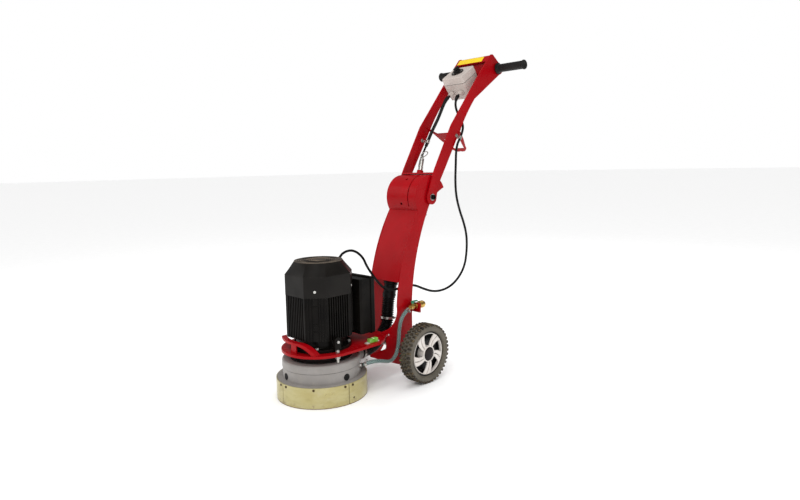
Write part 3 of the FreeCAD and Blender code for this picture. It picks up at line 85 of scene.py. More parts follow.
CAMERA_AT = Vector((1.52682, -1.53008, 0.72118))
CAMERA_FORWARD = Vector((-0.7033, 0.7044, -0.0956)).normalized()
CAMERA_ROLL = math.radians(-1.16)
CAMERA_LENS = 27.18
CAMERA_SHIFT = -0.03125
SKY_FOR_GLOSS = 0.2
SKY_FOR_THE_REST = 0.97
FLOOR_REACH = 60
# Name, place, aim, width in metres, power in watts.
LIGHTS = [
    ("key", (1.7, -2.4, 2.4), (0, 0, 0.4), 1.1, 34),
    ("fill", (-2.4, -1.6, 1.8), (0, -0.1, 0.5), 1.6, 8),
    ("back", (-0.6, 2.4, 2.6), (0, 0, 0.6), 2.0, 12),
    ("top", (0.3, -0.2, 3.2), (0, 0, 0), 2.4, 10),
]


def make_camera():
    right = CAMERA_FORWARD.cross(Z_AXIS).normalized()
    up = right.cross(CAMERA_FORWARD)
    tilted_right = right * math.cos(CAMERA_ROLL) + up * math.sin(CAMERA_ROLL)
    tilted_up = up * math.cos(CAMERA_ROLL) - right * math.sin(CAMERA_ROLL)
    data = bpy.data.cameras.new("camera")
    data.sensor_width = 36.0
    data.lens = CAMERA_LENS
    data.shift_y = CAMERA_SHIFT
    data.clip_end = 100.0
    camera = bpy.data.objects.new("camera", data)
    turn = Matrix((tilted_right, tilted_up, -CAMERA_FORWARD)).transposed()
    camera.matrix_world = Matrix.Translation(CAMERA_AT) @ turn.to_4x4()
    bpy.context.scene.collection.objects.link(camera)
    bpy.context.scene.camera = camera


def area_light(name, place, aim, width, power):
    data = bpy.data.lights.new(name, "AREA")
    data.size = width
    data.energy = power
    light = bpy.data.objects.new(name, data)
    light.location = place
    light.rotation_euler = (Vector(aim) - Vector(place)).to_track_quat("-Z", "Y").to_euler()
    bpy.context.scene.collection.objects.link(light)


def make_sky():
    """A white world, dimmer where it lights the object than where the camera sees it."""
    world = bpy.data.worlds.new("studio")
    world.use_nodes = True
    tree = world.node_tree
    background = tree.nodes["Background"]
    background.inputs["Color"].default_value = (1, 1, 1, 1)
    rays = tree.nodes.new("ShaderNodeLightPath")
    unseen = tree.nodes.new("ShaderNodeMapRange")
    unseen.inputs["To Min"].default_value = SKY_FOR_THE_REST
    unseen.inputs["To Max"].default_value = SKY_FOR_GLOSS
    strength = tree.nodes.new("ShaderNodeMath")
    strength.operation = "MAXIMUM"
    tree.links.new(rays.outputs["Is Glossy Ray"], unseen.inputs["Value"])
    tree.links.new(rays.outputs["Is Camera Ray"], strength.inputs[0])
    tree.links.new(unseen.outputs[0], strength.inputs[1])
    tree.links.new(strength.outputs[0], background.inputs["Strength"])
    bpy.context.scene.world = world
    bpy.context.scene.view_settings.view_transform = "Standard"


def make_floor():
    mesh = bpy.data.meshes.new("floor")
    corners = [Vector((x, y, 0)) for x, y in ((-1, -1), (1, -1), (1, 1), (-1, 1))]
    mesh.from_pydata([corner * FLOOR_REACH for corner in corners], [], [(0, 1, 2, 3)])
    floor = bpy.data.objects.new("floor", mesh)
    bpy.context.scene.collection.objects.link(floor)
    paper = surface("floor_paper", (1.0, 1.0, 1.0), (0.985, 0.985, 0.985), rough=(0.8, 0.9),
                    specular=0.1)
    mesh.materials.append(paper.material)


# ---------------------------------------------------------------- materials

SOFTEN = 0.0006
WORN_WIDTH = 0.0012


class Nodes:
    """A new material's node tree, with short calls for its nodes."""

    def __init__(self, name):
        self.material = bpy.data.materials.new(name)
        self.material.use_nodes = True
        self.tree = self.material.node_tree
        self.shader = self.tree.nodes["Principled BSDF"]
        self.place = self.add("TexCoord").outputs["Object"]

    def add(self, kind, **settings):
        node = self.tree.nodes.new("ShaderNode" + kind)
        for key, value in settings.items():
            setattr(node, key, value)
        return node

    def feed(self, target, value):
        """Link an output to a socket, or set the socket's own value."""
        if isinstance(value, bpy.types.NodeSocket):
            self.tree.links.new(value, target)
        elif target.type == "RGBA":
            target.default_value = (*value, 1.0)
        else:
            target.default_value = value

    def noise(self, scale, detail=4.0, stretch=None, rough=0.55):
        node = self.add("TexNoise")
        self.feed(node.inputs["Scale"], scale)
        self.feed(node.inputs["Detail"], detail)
        self.feed(node.inputs["Roughness"], rough)
        vector = self.place
        if stretch:
            mapping = self.add("Mapping")
            self.feed(mapping.inputs["Vector"], self.place)
            self.feed(mapping.inputs["Scale"], stretch)
            vector = mapping.outputs[0]
        self.feed(node.inputs["Vector"], vector)
        return node.outputs["Fac"]

    def ramp(self, value, low, high, out_low=0.0, out_high=1.0):
        node = self.add("MapRange", interpolation_type="SMOOTHSTEP")
        for socket, number in zip(node.inputs[:5], (value, low, high, out_low, out_high)):
            self.feed(socket, number)
        return node.outputs[0]

    def mix(self, factor, first, second):
        node = self.add("Mix", data_type="RGBA")
        self.feed(node.inputs[0], factor)
        self.feed(node.inputs[6], first)
        self.feed(node.inputs[7], second)
        return node.outputs[2]

    def maths(self, operation, first, second):
        node = self.add("Math", operation=operation)
        self.feed(node.inputs[0], first)
        self.feed(node.inputs[1], second)
        return node.outputs[0]

    def vectors(self, operation, *values):
        """The first output of a vector operation. LENGTH and DOT_PRODUCT give numbers."""
        node = self.add("VectorMath", operation=operation)
        for socket, value in zip(node.inputs, values):
            self.feed(socket, value)
        number = operation in ("LENGTH", "DOT_PRODUCT")
        return node.outputs["Value" if number else "Vector"]

    def beyond(self, direction, distance, soft=0.0002):
        """1 past a plane at this distance along a direction, 0 before it."""
        along = self.vectors("DOT_PRODUCT", self.place, direction)
        return self.ramp(along, distance - soft, distance + soft)

    def below(self, height, soft=0.0002):
        return self.beyond(-Z_AXIS, -height, soft)

    def between(self, direction, low, high):
        """1 between two planes across a direction, 0 outside them."""
        return self.maths("MULTIPLY", self.beyond(direction, low), self.beyond(-direction, -high))

    def outside(self, direction, low, high):
        """1 outside two planes across a direction, 0 between them."""
        return self.maths("MAXIMUM", self.beyond(direction, high), self.beyond(-direction, -low))

    def wave(self, value, pitch):
        """A wave of 0 to 1 with this pitch."""
        swing = self.maths("SINE", self.maths("MULTIPLY", value, 2 * math.pi / pitch), 0.0)
        return self.ramp(swing, -1.0, 1.0)

    def recolour(self, mask, tone):
        base = self.shader.inputs["Base Color"]
        self.feed(base, self.mix(mask, base.links[0].from_socket, tone))

    def near_edge(self, width):
        """1 where the surface turns within this distance, 0 elsewhere."""
        bevel = self.add("Bevel", samples=4)
        self.feed(bevel.inputs["Radius"], width)
        flat = self.add("NewGeometry").outputs["True Normal"]
        across = self.vectors("DOT_PRODUCT", bevel.outputs[0], flat)
        return self.ramp(across, 0.8, 0.99, 1.0, 0.0)

    def bump(self, height, depth, before):
        node = self.add("Bump")
        self.feed(node.inputs["Distance"], depth)
        self.feed(node.inputs["Strength"], 1.0)
        self.feed(node.inputs["Height"], height)
        self.feed(node.inputs["Normal"], before)
        return node.outputs[0]


def surface(name, colour, second, rough=(0.35, 0.5), metallic=0.0, patch=12.0, grain=900.0,
            depth=0.00004, coat=0.0, edge=None, edge_amount=0.6, dust=None, dust_amount=0.3,
            stretch=None, specular=0.5):
    """Patches of two colours, changing roughness, fine grain, worn edges and dust."""
    n = Nodes(name)
    tone = n.mix(n.ramp(n.noise(patch, 5.0, stretch), 0.35, 0.65), colour, second)
    if dust:
        lies = n.ramp(n.noise(patch * 2.3, 8.0, stretch, 0.7), 0.45, 0.75, 0.0, dust_amount)
        tone = n.mix(lies, tone, dust)
    if edge:
        broken = n.ramp(n.noise(45.0, 6.0), 0.4, 0.6, 0.25 * edge_amount, edge_amount)
        tone = n.mix(n.maths("MULTIPLY", n.near_edge(WORN_WIDTH), broken), tone, edge)
    n.feed(n.shader.inputs["Base Color"], tone)
    n.feed(n.shader.inputs["Roughness"], n.ramp(n.noise(patch * 1.7, 6.0), 0.3, 0.7, *rough))
    n.feed(n.shader.inputs["Metallic"], metallic)
    n.feed(n.shader.inputs["Specular IOR Level"], specular)
    if coat:
        n.feed(n.shader.inputs["Coat Weight"], coat)
        n.feed(n.shader.inputs["Coat Roughness"], 0.12)
    bevel = n.add("Bevel", samples=4)
    n.feed(bevel.inputs["Radius"], SOFTEN)
    n.feed(n.shader.inputs["Normal"], n.bump(n.noise(grain, 3.0), depth, bevel.outputs[0]))
    return n


def head_finish():
    """Cast paint, its parting step darkened as painted shade, and dust near the skirt."""
    parting = 0.1001
    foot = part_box("head_housing")[0].z + 0.0015
    n = surface("cast_grey", (0.27, 0.252, 0.24), (0.23, 0.213, 0.2), rough=(0.36, 0.52),
                grain=320.0, depth=0.0003, dust=(0.34, 0.31, 0.26))
    # Painted shade: a dark band at the parting face's step, standing in for its shadow.
    line = n.between(Z_AXIS, parting - 0.0008, parting + 0.0008)
    n.recolour(n.maths("MULTIPLY", line, 0.85), (0.06, 0.055, 0.05))
    patches = n.ramp(n.noise(60.0, 8.0), 0.45, 0.7, 0.1, 0.7)
    n.recolour(n.maths("MULTIPLY", n.below(foot, 0.004), patches), (0.3, 0.27, 0.2))
    return n


def skirt_finish():
    """Yellow zinc, smeared, with dried slurry low down and rust on the lower edge."""
    rust_top = 0.0022
    slurry_top = 0.014
    n = surface("yellow_zinc", (0.42, 0.36, 0.15), (0.48, 0.43, 0.21), rough=(0.26, 0.46),
                metallic=0.35, patch=9.0, stretch=(1, 1, 3), dust=(0.5, 0.46, 0.31),
                dust_amount=0.5)
    smear = n.ramp(n.noise(26.0, 9.0, (1, 1, 2.5), 0.7), 0.5, 0.68, 0.0, 0.45)
    n.recolour(smear, (0.33, 0.28, 0.11))
    n.recolour(n.below(rust_top), (0.12, 0.06, 0.025))
    spots = n.ramp(n.noise(80.0, 8.0), 0.5, 0.7)
    n.recolour(n.maths("MULTIPLY", n.below(slurry_top, 0.008), spots), (0.3, 0.24, 0.13))
    return n


def screw_finish():
    """Zinc on the machine, stained brown low on the skirt, black at the handle's pivot."""
    stain_top = 0.07
    pivot_heads = 0.0834
    n = surface("zinc_steel_screws", (0.58, 0.57, 0.54), (0.46, 0.45, 0.43), rough=(0.22, 0.4),
                metallic=0.9)
    n.recolour(n.below(stain_top), (0.07, 0.045, 0.022))
    heads = n.outside(X_AXIS, -pivot_heads, pivot_heads)
    n.recolour(n.maths("MULTIPLY", heads, n.beyond(Z_AXIS, 0.5)), (0.006, 0.006, 0.006))
    return n


def seal_finish():
    """Black gasket at the box's parting line and beige glands below it."""
    gland_depth = 0.012
    n = surface("switch_seal", (0.012, 0.012, 0.012), (0.02, 0.02, 0.02), rough=(0.35, 0.5))
    inward = -SWITCH_OUT
    n.recolour(n.beyond(inward, inward.dot(SWITCH) + gland_depth), (0.48, 0.42, 0.38))
    return n


def fan_cover_finish():
    """Black paint, with brown dust lying on the round top."""
    ring_pitch = 0.0068
    n = surface("black_paint_cover", (0.0075, 0.0064, 0.0055), (0.012, 0.0105, 0.009),
                rough=(0.3, 0.44), grain=420.0, depth=0.0001, edge=(0.045, 0.037, 0.032),
                specular=0.12)
    centred = n.vectors("SUBTRACT", n.place, HEAD)
    radius = n.vectors("LENGTH", n.vectors("MULTIPLY", centred, (1, 1, 0)))
    rings = n.wave(radius, ring_pitch)
    patches = n.ramp(n.noise(40.0, 8.0), 0.35, 0.6, 0.25, 0.8)
    lies = n.maths("MULTIPLY", n.beyond(Z_AXIS, COVER_TOP - 0.0008), patches)
    n.recolour(n.maths("MULTIPLY", lies, rings), (0.2, 0.155, 0.115))
    return n


def level_finish():
    """Clear green block between zinc feet, with a light band across its top: its bubble, as a painted highlight.
    """
    low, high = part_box("spirit_level")
    n = surface("vial_green", (0.1, 0.36, 0.02), (0.24, 0.5, 0.1), rough=(0.06, 0.15),
                patch=60.0, coat=0.6)
    n.recolour(n.outside(Y_AXIS, low.y + 0.0128, high.y - 0.0068), (0.55, 0.53, 0.48))
    # Painted highlight: a light band across the vial's top, where its bubble sits.
    bubble_highlight = n.between(Y_AXIS, low.y + 0.026, low.y + 0.034)
    top = n.beyond(Z_AXIS, high.z - 0.0005)
    n.recolour(n.maths("MULTIPLY", bubble_highlight, top), (0.75, 0.85, 0.45))
    return n


def hose_finish():
    """Green hose with a braid that shows through it."""
    threads_round = 5.0
    braid_pitch = 0.009
    n = surface("hose_teal", (0.05, 0.105, 0.1), (0.1, 0.15, 0.14), rough=(0.14, 0.28),
                patch=30.0, coat=0.1, grain=600.0)
    spot = n.add("SeparateXYZ")
    n.feed(spot.inputs[0], n.add("UVMap", uv_map="along").outputs[0])
    turn = n.maths("MULTIPLY", spot.outputs["X"], threads_round)
    down = n.maths("DIVIDE", spot.outputs["Y"], braid_pitch)
    one = n.wave(n.maths("ADD", turn, down), 1.0)
    two = n.wave(n.maths("SUBTRACT", turn, down), 1.0)
    braid = n.ramp(n.maths("MAXIMUM", one, two), 0.82, 0.98, 0.0, 0.7)
    n.recolour(braid, (0.22, 0.29, 0.275))
    normal = n.shader.inputs["Normal"]
    n.feed(normal, n.bump(braid, 0.0004, normal.links[0].from_socket))
    return n


def tread_finish():
    """Dark rubber with dried mud in it."""
    n = surface("tyre_tread", (0.012, 0.01, 0.008), (0.04, 0.03, 0.019), rough=(0.6, 0.9),
                patch=45.0, grain=300.0, depth=0.0005, dust=(0.24, 0.16, 0.07), dust_amount=0.9)
    n.recolour(n.ramp(n.noise(70.0, 8.0), 0.6, 0.72, 0.0, 0.7), (0.16, 0.16, 0.06))
    return n


def paints_and_metals():
    return {
        "red_paint": surface(
            "red_paint", (0.35, 0.0004, 0.004), (0.29, 0.0003, 0.003), rough=(0.24, 0.38),
            coat=0.02, grain=260.0, depth=0.0001, patch=6.0, edge=(0.4, 0.02, 0.02),
            edge_amount=0.35, dust=(0.22, 0.03, 0.025), dust_amount=0.12, specular=0.11),
        "black_paint": surface(
            "black_paint", (0.0035, 0.003, 0.0026), (0.007, 0.006, 0.005), rough=(0.26, 0.4),
            grain=400.0, depth=0.00008, edge=(0.03, 0.025, 0.022), specular=0.08),
        "cast_grey": head_finish(),
        "yellow_zinc": skirt_finish(),
        "zinc_steel": surface(
            "zinc_steel", (0.56, 0.55, 0.52), (0.42, 0.41, 0.38), rough=(0.22, 0.42),
            metallic=0.9, patch=60.0, dust=(0.3, 0.24, 0.16)),
        "bare_steel": surface(
            "bare_steel", (0.42, 0.42, 0.42), (0.3, 0.29, 0.28), rough=(0.3, 0.5), metallic=1.0),
        "diamond_matrix": surface(
            "diamond_matrix", (0.2, 0.17, 0.13), (0.12, 0.11, 0.1), rough=(0.6, 0.85),
            grain=1500.0, depth=0.0004),
        "brass": surface(
            "brass", (0.72, 0.47, 0.13), (0.55, 0.34, 0.09), rough=(0.18, 0.36), metallic=0.95,
            patch=50.0, dust=(0.3, 0.22, 0.1)),
        "screws": screw_finish(),
        "fan_cover": fan_cover_finish(),
    }


def rubbers_and_plastics():
    return {
        "rubber_black": surface(
            "rubber_black", (0.006, 0.006, 0.006), (0.012, 0.0115, 0.011), rough=(0.45, 0.65),
            dust=(0.04, 0.035, 0.03), specular=0.18),
        "cord_black": surface(
            "cord_black", (0.003, 0.003, 0.0032), (0.007, 0.007, 0.0072), rough=(0.3, 0.5),
            patch=40.0, dust=(0.02, 0.017, 0.015), specular=0.15),
        "tyre_rubber": surface(
            "tyre_rubber", (0.085, 0.075, 0.056), (0.115, 0.1, 0.077), rough=(0.6, 0.85),
            patch=18.0, grain=500.0, depth=0.0002, dust=(0.16, 0.13, 0.09), dust_amount=0.45),
        "rim_plastic": surface(
            "rim_plastic", (0.72, 0.68, 0.64), (0.62, 0.57, 0.53), rough=(0.2, 0.36), coat=0.3,
            dust=(0.34, 0.25, 0.16), edge=(0.42, 0.3, 0.2), edge_amount=0.35),
        "fan_plastic": surface(
            "fan_plastic", (0.02, 0.02, 0.02), (0.03, 0.03, 0.03), rough=(0.4, 0.55)),
        "black_plastic": surface(
            "black_plastic", (0.004, 0.004, 0.004), (0.008, 0.008, 0.008), rough=(0.22, 0.4),
            dust=(0.025, 0.022, 0.02), specular=0.2),
        "beige_plastic": surface(
            "beige_plastic", (0.52, 0.46, 0.42), (0.46, 0.4, 0.365), rough=(0.32, 0.5),
            grain=700.0, depth=0.0001, dust=(0.36, 0.29, 0.25), edge=(0.66, 0.62, 0.57),
            edge_amount=0.4),
        "hose_teal": hose_finish(),
        "green_grip": surface(
            "green_grip", (0.008, 0.2, 0.1), (0.012, 0.26, 0.12), rough=(0.22, 0.4)),
        "vial_green": level_finish(),
        "seals": seal_finish(),
        "grips": surface(
            "rubber_grip", (0.006, 0.006, 0.006), (0.012, 0.0115, 0.011), rough=(0.4, 0.6),
            dust=(0.035, 0.033, 0.031), specular=0.22),
        "tread": tread_finish(),
        "gloss_black": surface(
            "gloss_black", (0.01, 0.007, 0.0068), (0.02, 0.014, 0.013), rough=(0.14, 0.25),
            coat=0.02, patch=30.0, specular=0.12),
        "label_yellow": surface(
            "label_yellow", (0.85, 0.62, 0.0), (0.8, 0.55, 0.005), rough=(0.25, 0.4), coat=0.3,
            patch=20.0, dust=(0.5, 0.4, 0.1), dust_amount=0.25),
    }


def finish_nodes():
    """Give each CAD node its slot's finish, and three of them a finish of their own."""
    for part in frame["record"]["subparts"]:
        slots = frame["nodes"][part["node"]].data.materials
        slots.clear()
        slots.append(finishes[part["material_slot"]])
    own = {"fixing_screws": "screws", "switch_seals": "seals", "fan_cover": "fan_cover"}
    for node, finish in own.items():
        frame["nodes"][node].data.materials[0] = finishes[finish]


finishes = {name: made.material
            for name, made in (paints_and_metals() | rubbers_and_plastics()).items()}

# ---------------------------------------------------------------- cords and hoses

DUST_ROUTE = [
    (0.0, -0.2111, 0.095), (0.0, -0.1491, 0.095), (0.0, -0.0791, 0.152), (0.0, -0.0721, 0.21),
    (0.0, -0.0676, 0.248), (0.0, -0.0631, 0.268),
]
WATER_ROUTE = [
    (0.104, -0.2831, 0.092), (0.122, -0.2681, 0.102), (0.124, -0.2381, 0.097),
    (0.118, -0.2081, 0.088), (0.11, -0.1791, 0.078), (0.103, -0.1531, 0.075),
    (0.098, -0.1311, 0.087), (0.094, -0.1171, 0.109), (0.092, -0.1101, 0.138),
    (0.091, -0.1061, 0.168), (0.09, -0.0971, 0.197), (0.09, -0.0801, 0.219),
    (0.09, -0.0581, 0.231),
]
SUPPLY_ROUTE = [
    (-0.023, 0.3095, 0.992), (-0.024, 0.2929, 0.9815), (-0.03, 0.2799, 0.955),
    (-0.035, 0.2679, 0.926), (-0.04, 0.2549, 0.897), (-0.048, 0.2399, 0.866),
    (-0.055, 0.2249, 0.833), (-0.058, 0.2079, 0.798), (-0.06, 0.1859, 0.762),
    (-0.06, 0.1689, 0.726), (-0.057, 0.1689, 0.686), (-0.054, 0.1799, 0.65),
    (-0.053, 0.1849, 0.615), (-0.053, 0.1809, 0.586),
]
MOTOR_ROUTE = [
    (0.023, 0.3095, 0.992), (0.027, 0.2909, 0.98), (0.037, 0.2719, 0.951),
    (0.052, 0.2649, 0.922), (0.068, 0.2669, 0.895), (0.082, 0.2639, 0.868),
    (0.089, 0.2459, 0.84), (0.0895, 0.2259, 0.812), (0.0896, 0.2179, 0.801),
    (0.088, 0.2119, 0.774), (0.086, 0.2119, 0.724), (0.082, 0.2129, 0.668),
    (0.08, 0.2189, 0.612), (0.077, 0.2409, 0.556), (0.075, 0.2689, 0.506),
    (0.072, 0.2899, 0.454), (0.069, 0.2939, 0.396), (0.068, 0.2809, 0.334),
    (0.063, 0.2449, 0.289), (0.061, 0.1989, 0.265), (0.06, 0.1479, 0.258),
    (0.06, 0.1009, 0.263), (0.06, 0.0539, 0.28), (0.058, 0.0059, 0.302),
    (0.056, -0.0411, 0.305), (0.045, -0.0831, 0.294), (0.025, -0.1071, 0.301),
    (0.004, -0.1161, 0.32), (-0.016, -0.1241, 0.346), (-0.035, -0.1351, 0.378),
    (-0.043, -0.1431, 0.408), (-0.052, -0.1661, 0.432), (-0.056, -0.1951, 0.44),
    (-0.061, -0.2261, 0.43), (-0.06, -0.2411, 0.407), (-0.06, -0.2451, 0.38),
]
SUPPLY_RADIUS = 0.004
SLEEVE_RADIUS = 0.0062
MOTOR_RADIUS = 0.0043
WATER_RADIUS = 0.0063
# Stretches from a cord's exit, in metres along it.
SLEEVE_STRETCH = (0.018, 0.223)
RELIEF_STRETCH = (0.011, 0.036)
RELIEF_PITCH = 0.0042
RELIEF_RING = 0.00035


def line_of(route, fine=16):
    """The points along a smooth curve over a route's points."""
    data = bpy.data.curves.new("line", "CURVE")
    data.dimensions = "3D"
    data.resolution_u = fine
    spline = data.splines.new("NURBS")
    spline.points.add(len(route) - 1)
    for point, spot in zip(spline.points, route):
        point.co = (*spot, 1.0)
    spline.order_u = 3
    spline.use_endpoint_u = True
    curve = bpy.data.objects.new("line", data)
    bpy.context.scene.collection.objects.link(curve)
    mesh = bpy.data.meshes.new_from_object(curve)
    points = [vertex.co.copy() for vertex in mesh.vertices]
    bpy.data.objects.remove(curve)
    return points


def length_of(points):
    return sum((there - here).length for here, there in zip(points, points[1:]))


def part_of(points, start, end):
    """The stretch of a line between two distances along it, with its ends cut there."""
    kept = []
    gone = 0.0
    for here, there in zip(points, points[1:]):
        step = (there - here).length
        for wanted in (start, end):
            if gone <= wanted < gone + step:
                kept.append(here.lerp(there, (wanted - gone) / step))
        if start < gone + step < end:
            kept.append(there)
        gone += step
    return kept


def new_piece(name, mesh, finish, body=None):
    piece = bpy.data.objects.new(name, mesh)
    bpy.context.scene.collection.objects.link(piece)
    mesh.materials.append(finish)
    mesh.polygons.foreach_set("use_smooth", [True] * len(mesh.polygons))
    if body:
        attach(piece, body)
    return piece


def tube(name, points, radius, finish, body=None, sides=16):
    """A closed tube along a line. radius is a number, or gives one for a distance along."""
    vertices = []
    lengths = []
    along = 0.0
    side = (points[1] - points[0]).orthogonal().normalized()
    for index, point in enumerate(points):
        if index:
            along += (point - points[index - 1]).length
        before, after = points[max(index - 1, 0)], points[min(index + 1, len(points) - 1)]
        ahead = (after - before).normalized()
        side = (side - ahead * side.dot(ahead)).normalized()
        across = ahead.cross(side)
        wide = radius(along) if callable(radius) else radius
        lengths.append(along)
        for step in range(sides):
            turn = 2 * math.pi * step / sides
            vertices.append(point + (side * math.cos(turn) + across * math.sin(turn)) * wide)
    faces = []
    last = sides * (len(points) - 1)
    for first in range(0, last, sides):
        for step in range(sides):
            beside = (step + 1) % sides
            faces.append((first + step, first + beside, first + sides + beside,
                          first + sides + step))
    faces.append(tuple(reversed(range(sides))))
    faces.append(tuple(range(last, last + sides)))
    mesh = bpy.data.meshes.new(name)
    mesh.from_pydata(vertices, [], faces)
    layer = mesh.uv_layers.new(name="along")
    for polygon in mesh.polygons[:-2]:
        ring, step = divmod(polygon.index, sides)
        corners = ((ring, step), (ring, step + 1), (ring + 1, step + 1), (ring + 1, step))
        for loop, (down, turn) in zip(polygon.loop_indices, corners):
            layer.data[loop].uv = (turn / sides, lengths[down])
    return new_piece(name, mesh, finish, body)


def relief(name, line, start, end, radii, body):
    """A ringed strain relief between two distances along a cord's line, tapered between radii."""
    stretch = part_of(line, start, end)
    whole = length_of(stretch)
    first, last = radii

    def radius(along):
        ring = RELIEF_RING * math.cos(2 * math.pi * along / RELIEF_PITCH)
        return first + (last - first) * along / whole + ring * (along < whole - 0.003)

    piece = tube(name, stretch, radius, finishes["rubber_black"], body, sides=20)
    return piece


def make_supply_lead():
    """Lead with its plug, sleeved where it passes the handle's arm."""
    supply_line = line_of(SUPPLY_ROUTE)
    supply = tube("supply_lead", supply_line, SUPPLY_RADIUS, finishes["cord_black"], "handle")
    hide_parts("supply_cord")
    sleeve = tube("lead_sleeve", part_of(supply_line, *SLEEVE_STRETCH), SLEEVE_RADIUS,
                  finishes["rubber_black"], "handle")
    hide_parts("cord_sleeve")
    fine = line_of(SUPPLY_ROUTE, 48)
    end = length_of(fine)
    reliefs = [
        relief("supply_relief", fine, *RELIEF_STRETCH, (0.0074, 0.0066), "handle"),
        relief("plug_relief", fine, end - 0.034, end - 0.0005, (0.0046, 0.0078), "handle"),
    ]


def make_motor_lead():
    """One cable from the switch box to the motor, bending at the handle's pivot."""
    motor_line = line_of(MOTOR_ROUTE)
    cable = tube("motor_lead", motor_line, MOTOR_RADIUS, finishes["cord_black"])
    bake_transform(cable)
    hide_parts("motor_cable_upper", "motor_cable_loop")
    fine = line_of(MOTOR_ROUTE, 48)
    end = length_of(fine)
    reliefs = [
        relief("cable_relief", fine, *RELIEF_STRETCH, (0.0074, 0.0052), "handle"),
        relief("motor_relief", fine, end - 0.042, end - 0.0005, (0.0052, 0.0085), "chassis"),
    ]


def make_water_line():
    water_line = line_of(WATER_ROUTE)
    water = tube("water_line", water_line, WATER_RADIUS, finishes["hose_teal"], "chassis",
                 sides=24)
    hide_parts("water_hose")


def make_dust_hose():
    """Corrugated hose, plain where it is pushed over the spigot and into the cuff."""
    outer, groove, pitch = 0.0229, 0.0046, 0.0068
    over_spigot, in_cuff, fade_length = 0.024, 0.006, 0.006
    line = line_of(DUST_ROUTE, 72)
    whole = length_of(line)

    def radius(along):
        from_spigot = max(0.0, (along - over_spigot) / fade_length)
        from_cuff = max(0.0, (whole - in_cuff - along) / fade_length)
        ripple = 0.5 + 0.5 * math.cos(2 * math.pi * along / pitch)
        return outer - groove * min(1.0, from_spigot, from_cuff) * ripple

    piece = tube("corrugated_hose", line, radius, finishes["black_plastic"], "chassis", sides=40)
    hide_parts("dust_hose")


# ---------------------------------------------------------------- forms

UPRIGHT = Matrix.Rotation(-math.pi / 2, 4, "Y")


def turned(profile, sides=64):
    """Vertices and faces of a closed profile of (radius, distance) turned about local X."""
    count = len(profile)
    vertices = []
    faces = []
    for step in range(sides):
        angle = 2 * math.pi * step / sides
        for radius, far in profile:
            vertices.append(Vector((far, radius * math.sin(angle), radius * math.cos(angle))))
        here = step * count
        there = (step + 1) % sides * count
        for index in range(count):
            beside = (index + 1) % count
            faces.append((here + index, here + beside, there + beside, there + index))
    return vertices, faces


def slab(width, depth, height, corner, at):
    """A plate with round corners, its lowest corner at a place."""
    outline = []
    for turn, (x, y) in enumerate(((1, 1), (0, 1), (0, 0), (1, 0))):
        centre = Vector((corner + x * (width - 2 * corner), corner + y * (depth - 2 * corner), 0))
        for step in range(5):
            angle = math.radians(90 * turn + 22.5 * step)
            outline.append(centre + Vector((math.cos(angle), math.sin(angle), 0)) * corner)
    count = len(outline)
    vertices = [Vector(at) + spot + Z_AXIS * lift for lift in (0, height) for spot in outline]
    faces = [(index, (index + 1) % count, count + (index + 1) % count, count + index)
             for index in range(count)]
    faces += [tuple(reversed(range(count))), tuple(range(count, 2 * count))]
    return vertices, faces


def bar(width, depth, height, at, inset=0.0006):
    """A rib along local Z, drawn in towards its front face."""
    half = width / 2
    vertices = []
    for x, y in ((-half, 0.0), (half, 0.0), (half - inset, depth), (-half + inset, depth)):
        vertices += [Vector((x, y, 0.0)) + Vector(at), Vector((x, y, height)) + Vector(at)]
    faces = [(0, 2, 3, 1), (2, 4, 5, 3), (4, 6, 7, 5), (6, 0, 1, 7), (0, 6, 4, 2), (1, 3, 5, 7)]
    return vertices, faces


def moved(form, change):
    vertices, faces = form
    return [change @ vertex for vertex in vertices], faces


def joined(name, forms, finish, body, place, sharp):
    """One piece from several forms, moved to its place. It is sharp past an angle in degrees."""
    mesh = bpy.data.meshes.new(name)
    solid = bmesh.new()
    for vertices, faces in forms:
        made = [solid.verts.new(place @ vertex) for vertex in vertices]
        for face in faces:
            solid.faces.new([made[index] for index in face])
    bmesh.ops.remove_doubles(solid, verts=solid.verts, dist=1e-6)
    bmesh.ops.dissolve_degenerate(solid, edges=solid.edges, dist=1e-7)
    bmesh.ops.recalc_face_normals(solid, faces=solid.faces)
    solid.to_mesh(mesh)
    solid.free()
    piece = new_piece(name, mesh, finish, body)
    mesh.set_sharp_from_angle(angle=math.radians(sharp))
    return piece


# ---------------------------------------------------------------- wheels

# Profiles of (radius, distance outward from the wheel's inner face).
TYRE_WALLS = [
    (0.0745, 0.006), (0.0752, 0.0025), (0.078, 0.0006), (0.084, 0.0001), (0.0895, 0.0012),
    (0.0942, 0.0036), (0.0952, 0.008), (0.0955, 0.024), (0.0952, 0.04), (0.0942, 0.0444),
    (0.0912, 0.0472), (0.085, 0.0479), (0.0795, 0.0476), (0.0787, 0.0468), (0.0778, 0.0476),
    (0.0762, 0.0468), (0.075, 0.0445), (0.0745, 0.04),
]
RIM_LIP = [
    (0.0668, 0.03), (0.0664, 0.0405), (0.067, 0.0418), (0.0682, 0.042), (0.0692, 0.0412),
    (0.0696, 0.039), (0.0698, 0.03),
]
RIM_HUB = [
    (0.0232, 0.012), (0.0232, 0.0455), (0.0239, 0.0463), (0.0256, 0.0463), (0.0268, 0.0452),
    (0.0272, 0.043), (0.0272, 0.012),
]
RIM_CORE = [
    (0.0102, 0.0012), (0.0102, 0.0368), (0.0205, 0.0368), (0.0215, 0.036), (0.0215, 0.0022),
    (0.0205, 0.0012),
]
RIM_BARREL = [
    (0.0698, 0.004), (0.0698, 0.0385), (0.0708, 0.0395), (0.0738, 0.0395), (0.0744, 0.039),
    (0.0744, 0.004), (0.0738, 0.0032), (0.0706, 0.0032),
]
RIM_DISH = [
    (0.0212, 0.012), (0.024, 0.0165), (0.06, 0.0235), (0.0702, 0.021), (0.0702, 0.0185),
    (0.06, 0.021), (0.024, 0.0135), (0.0212, 0.0095),
]
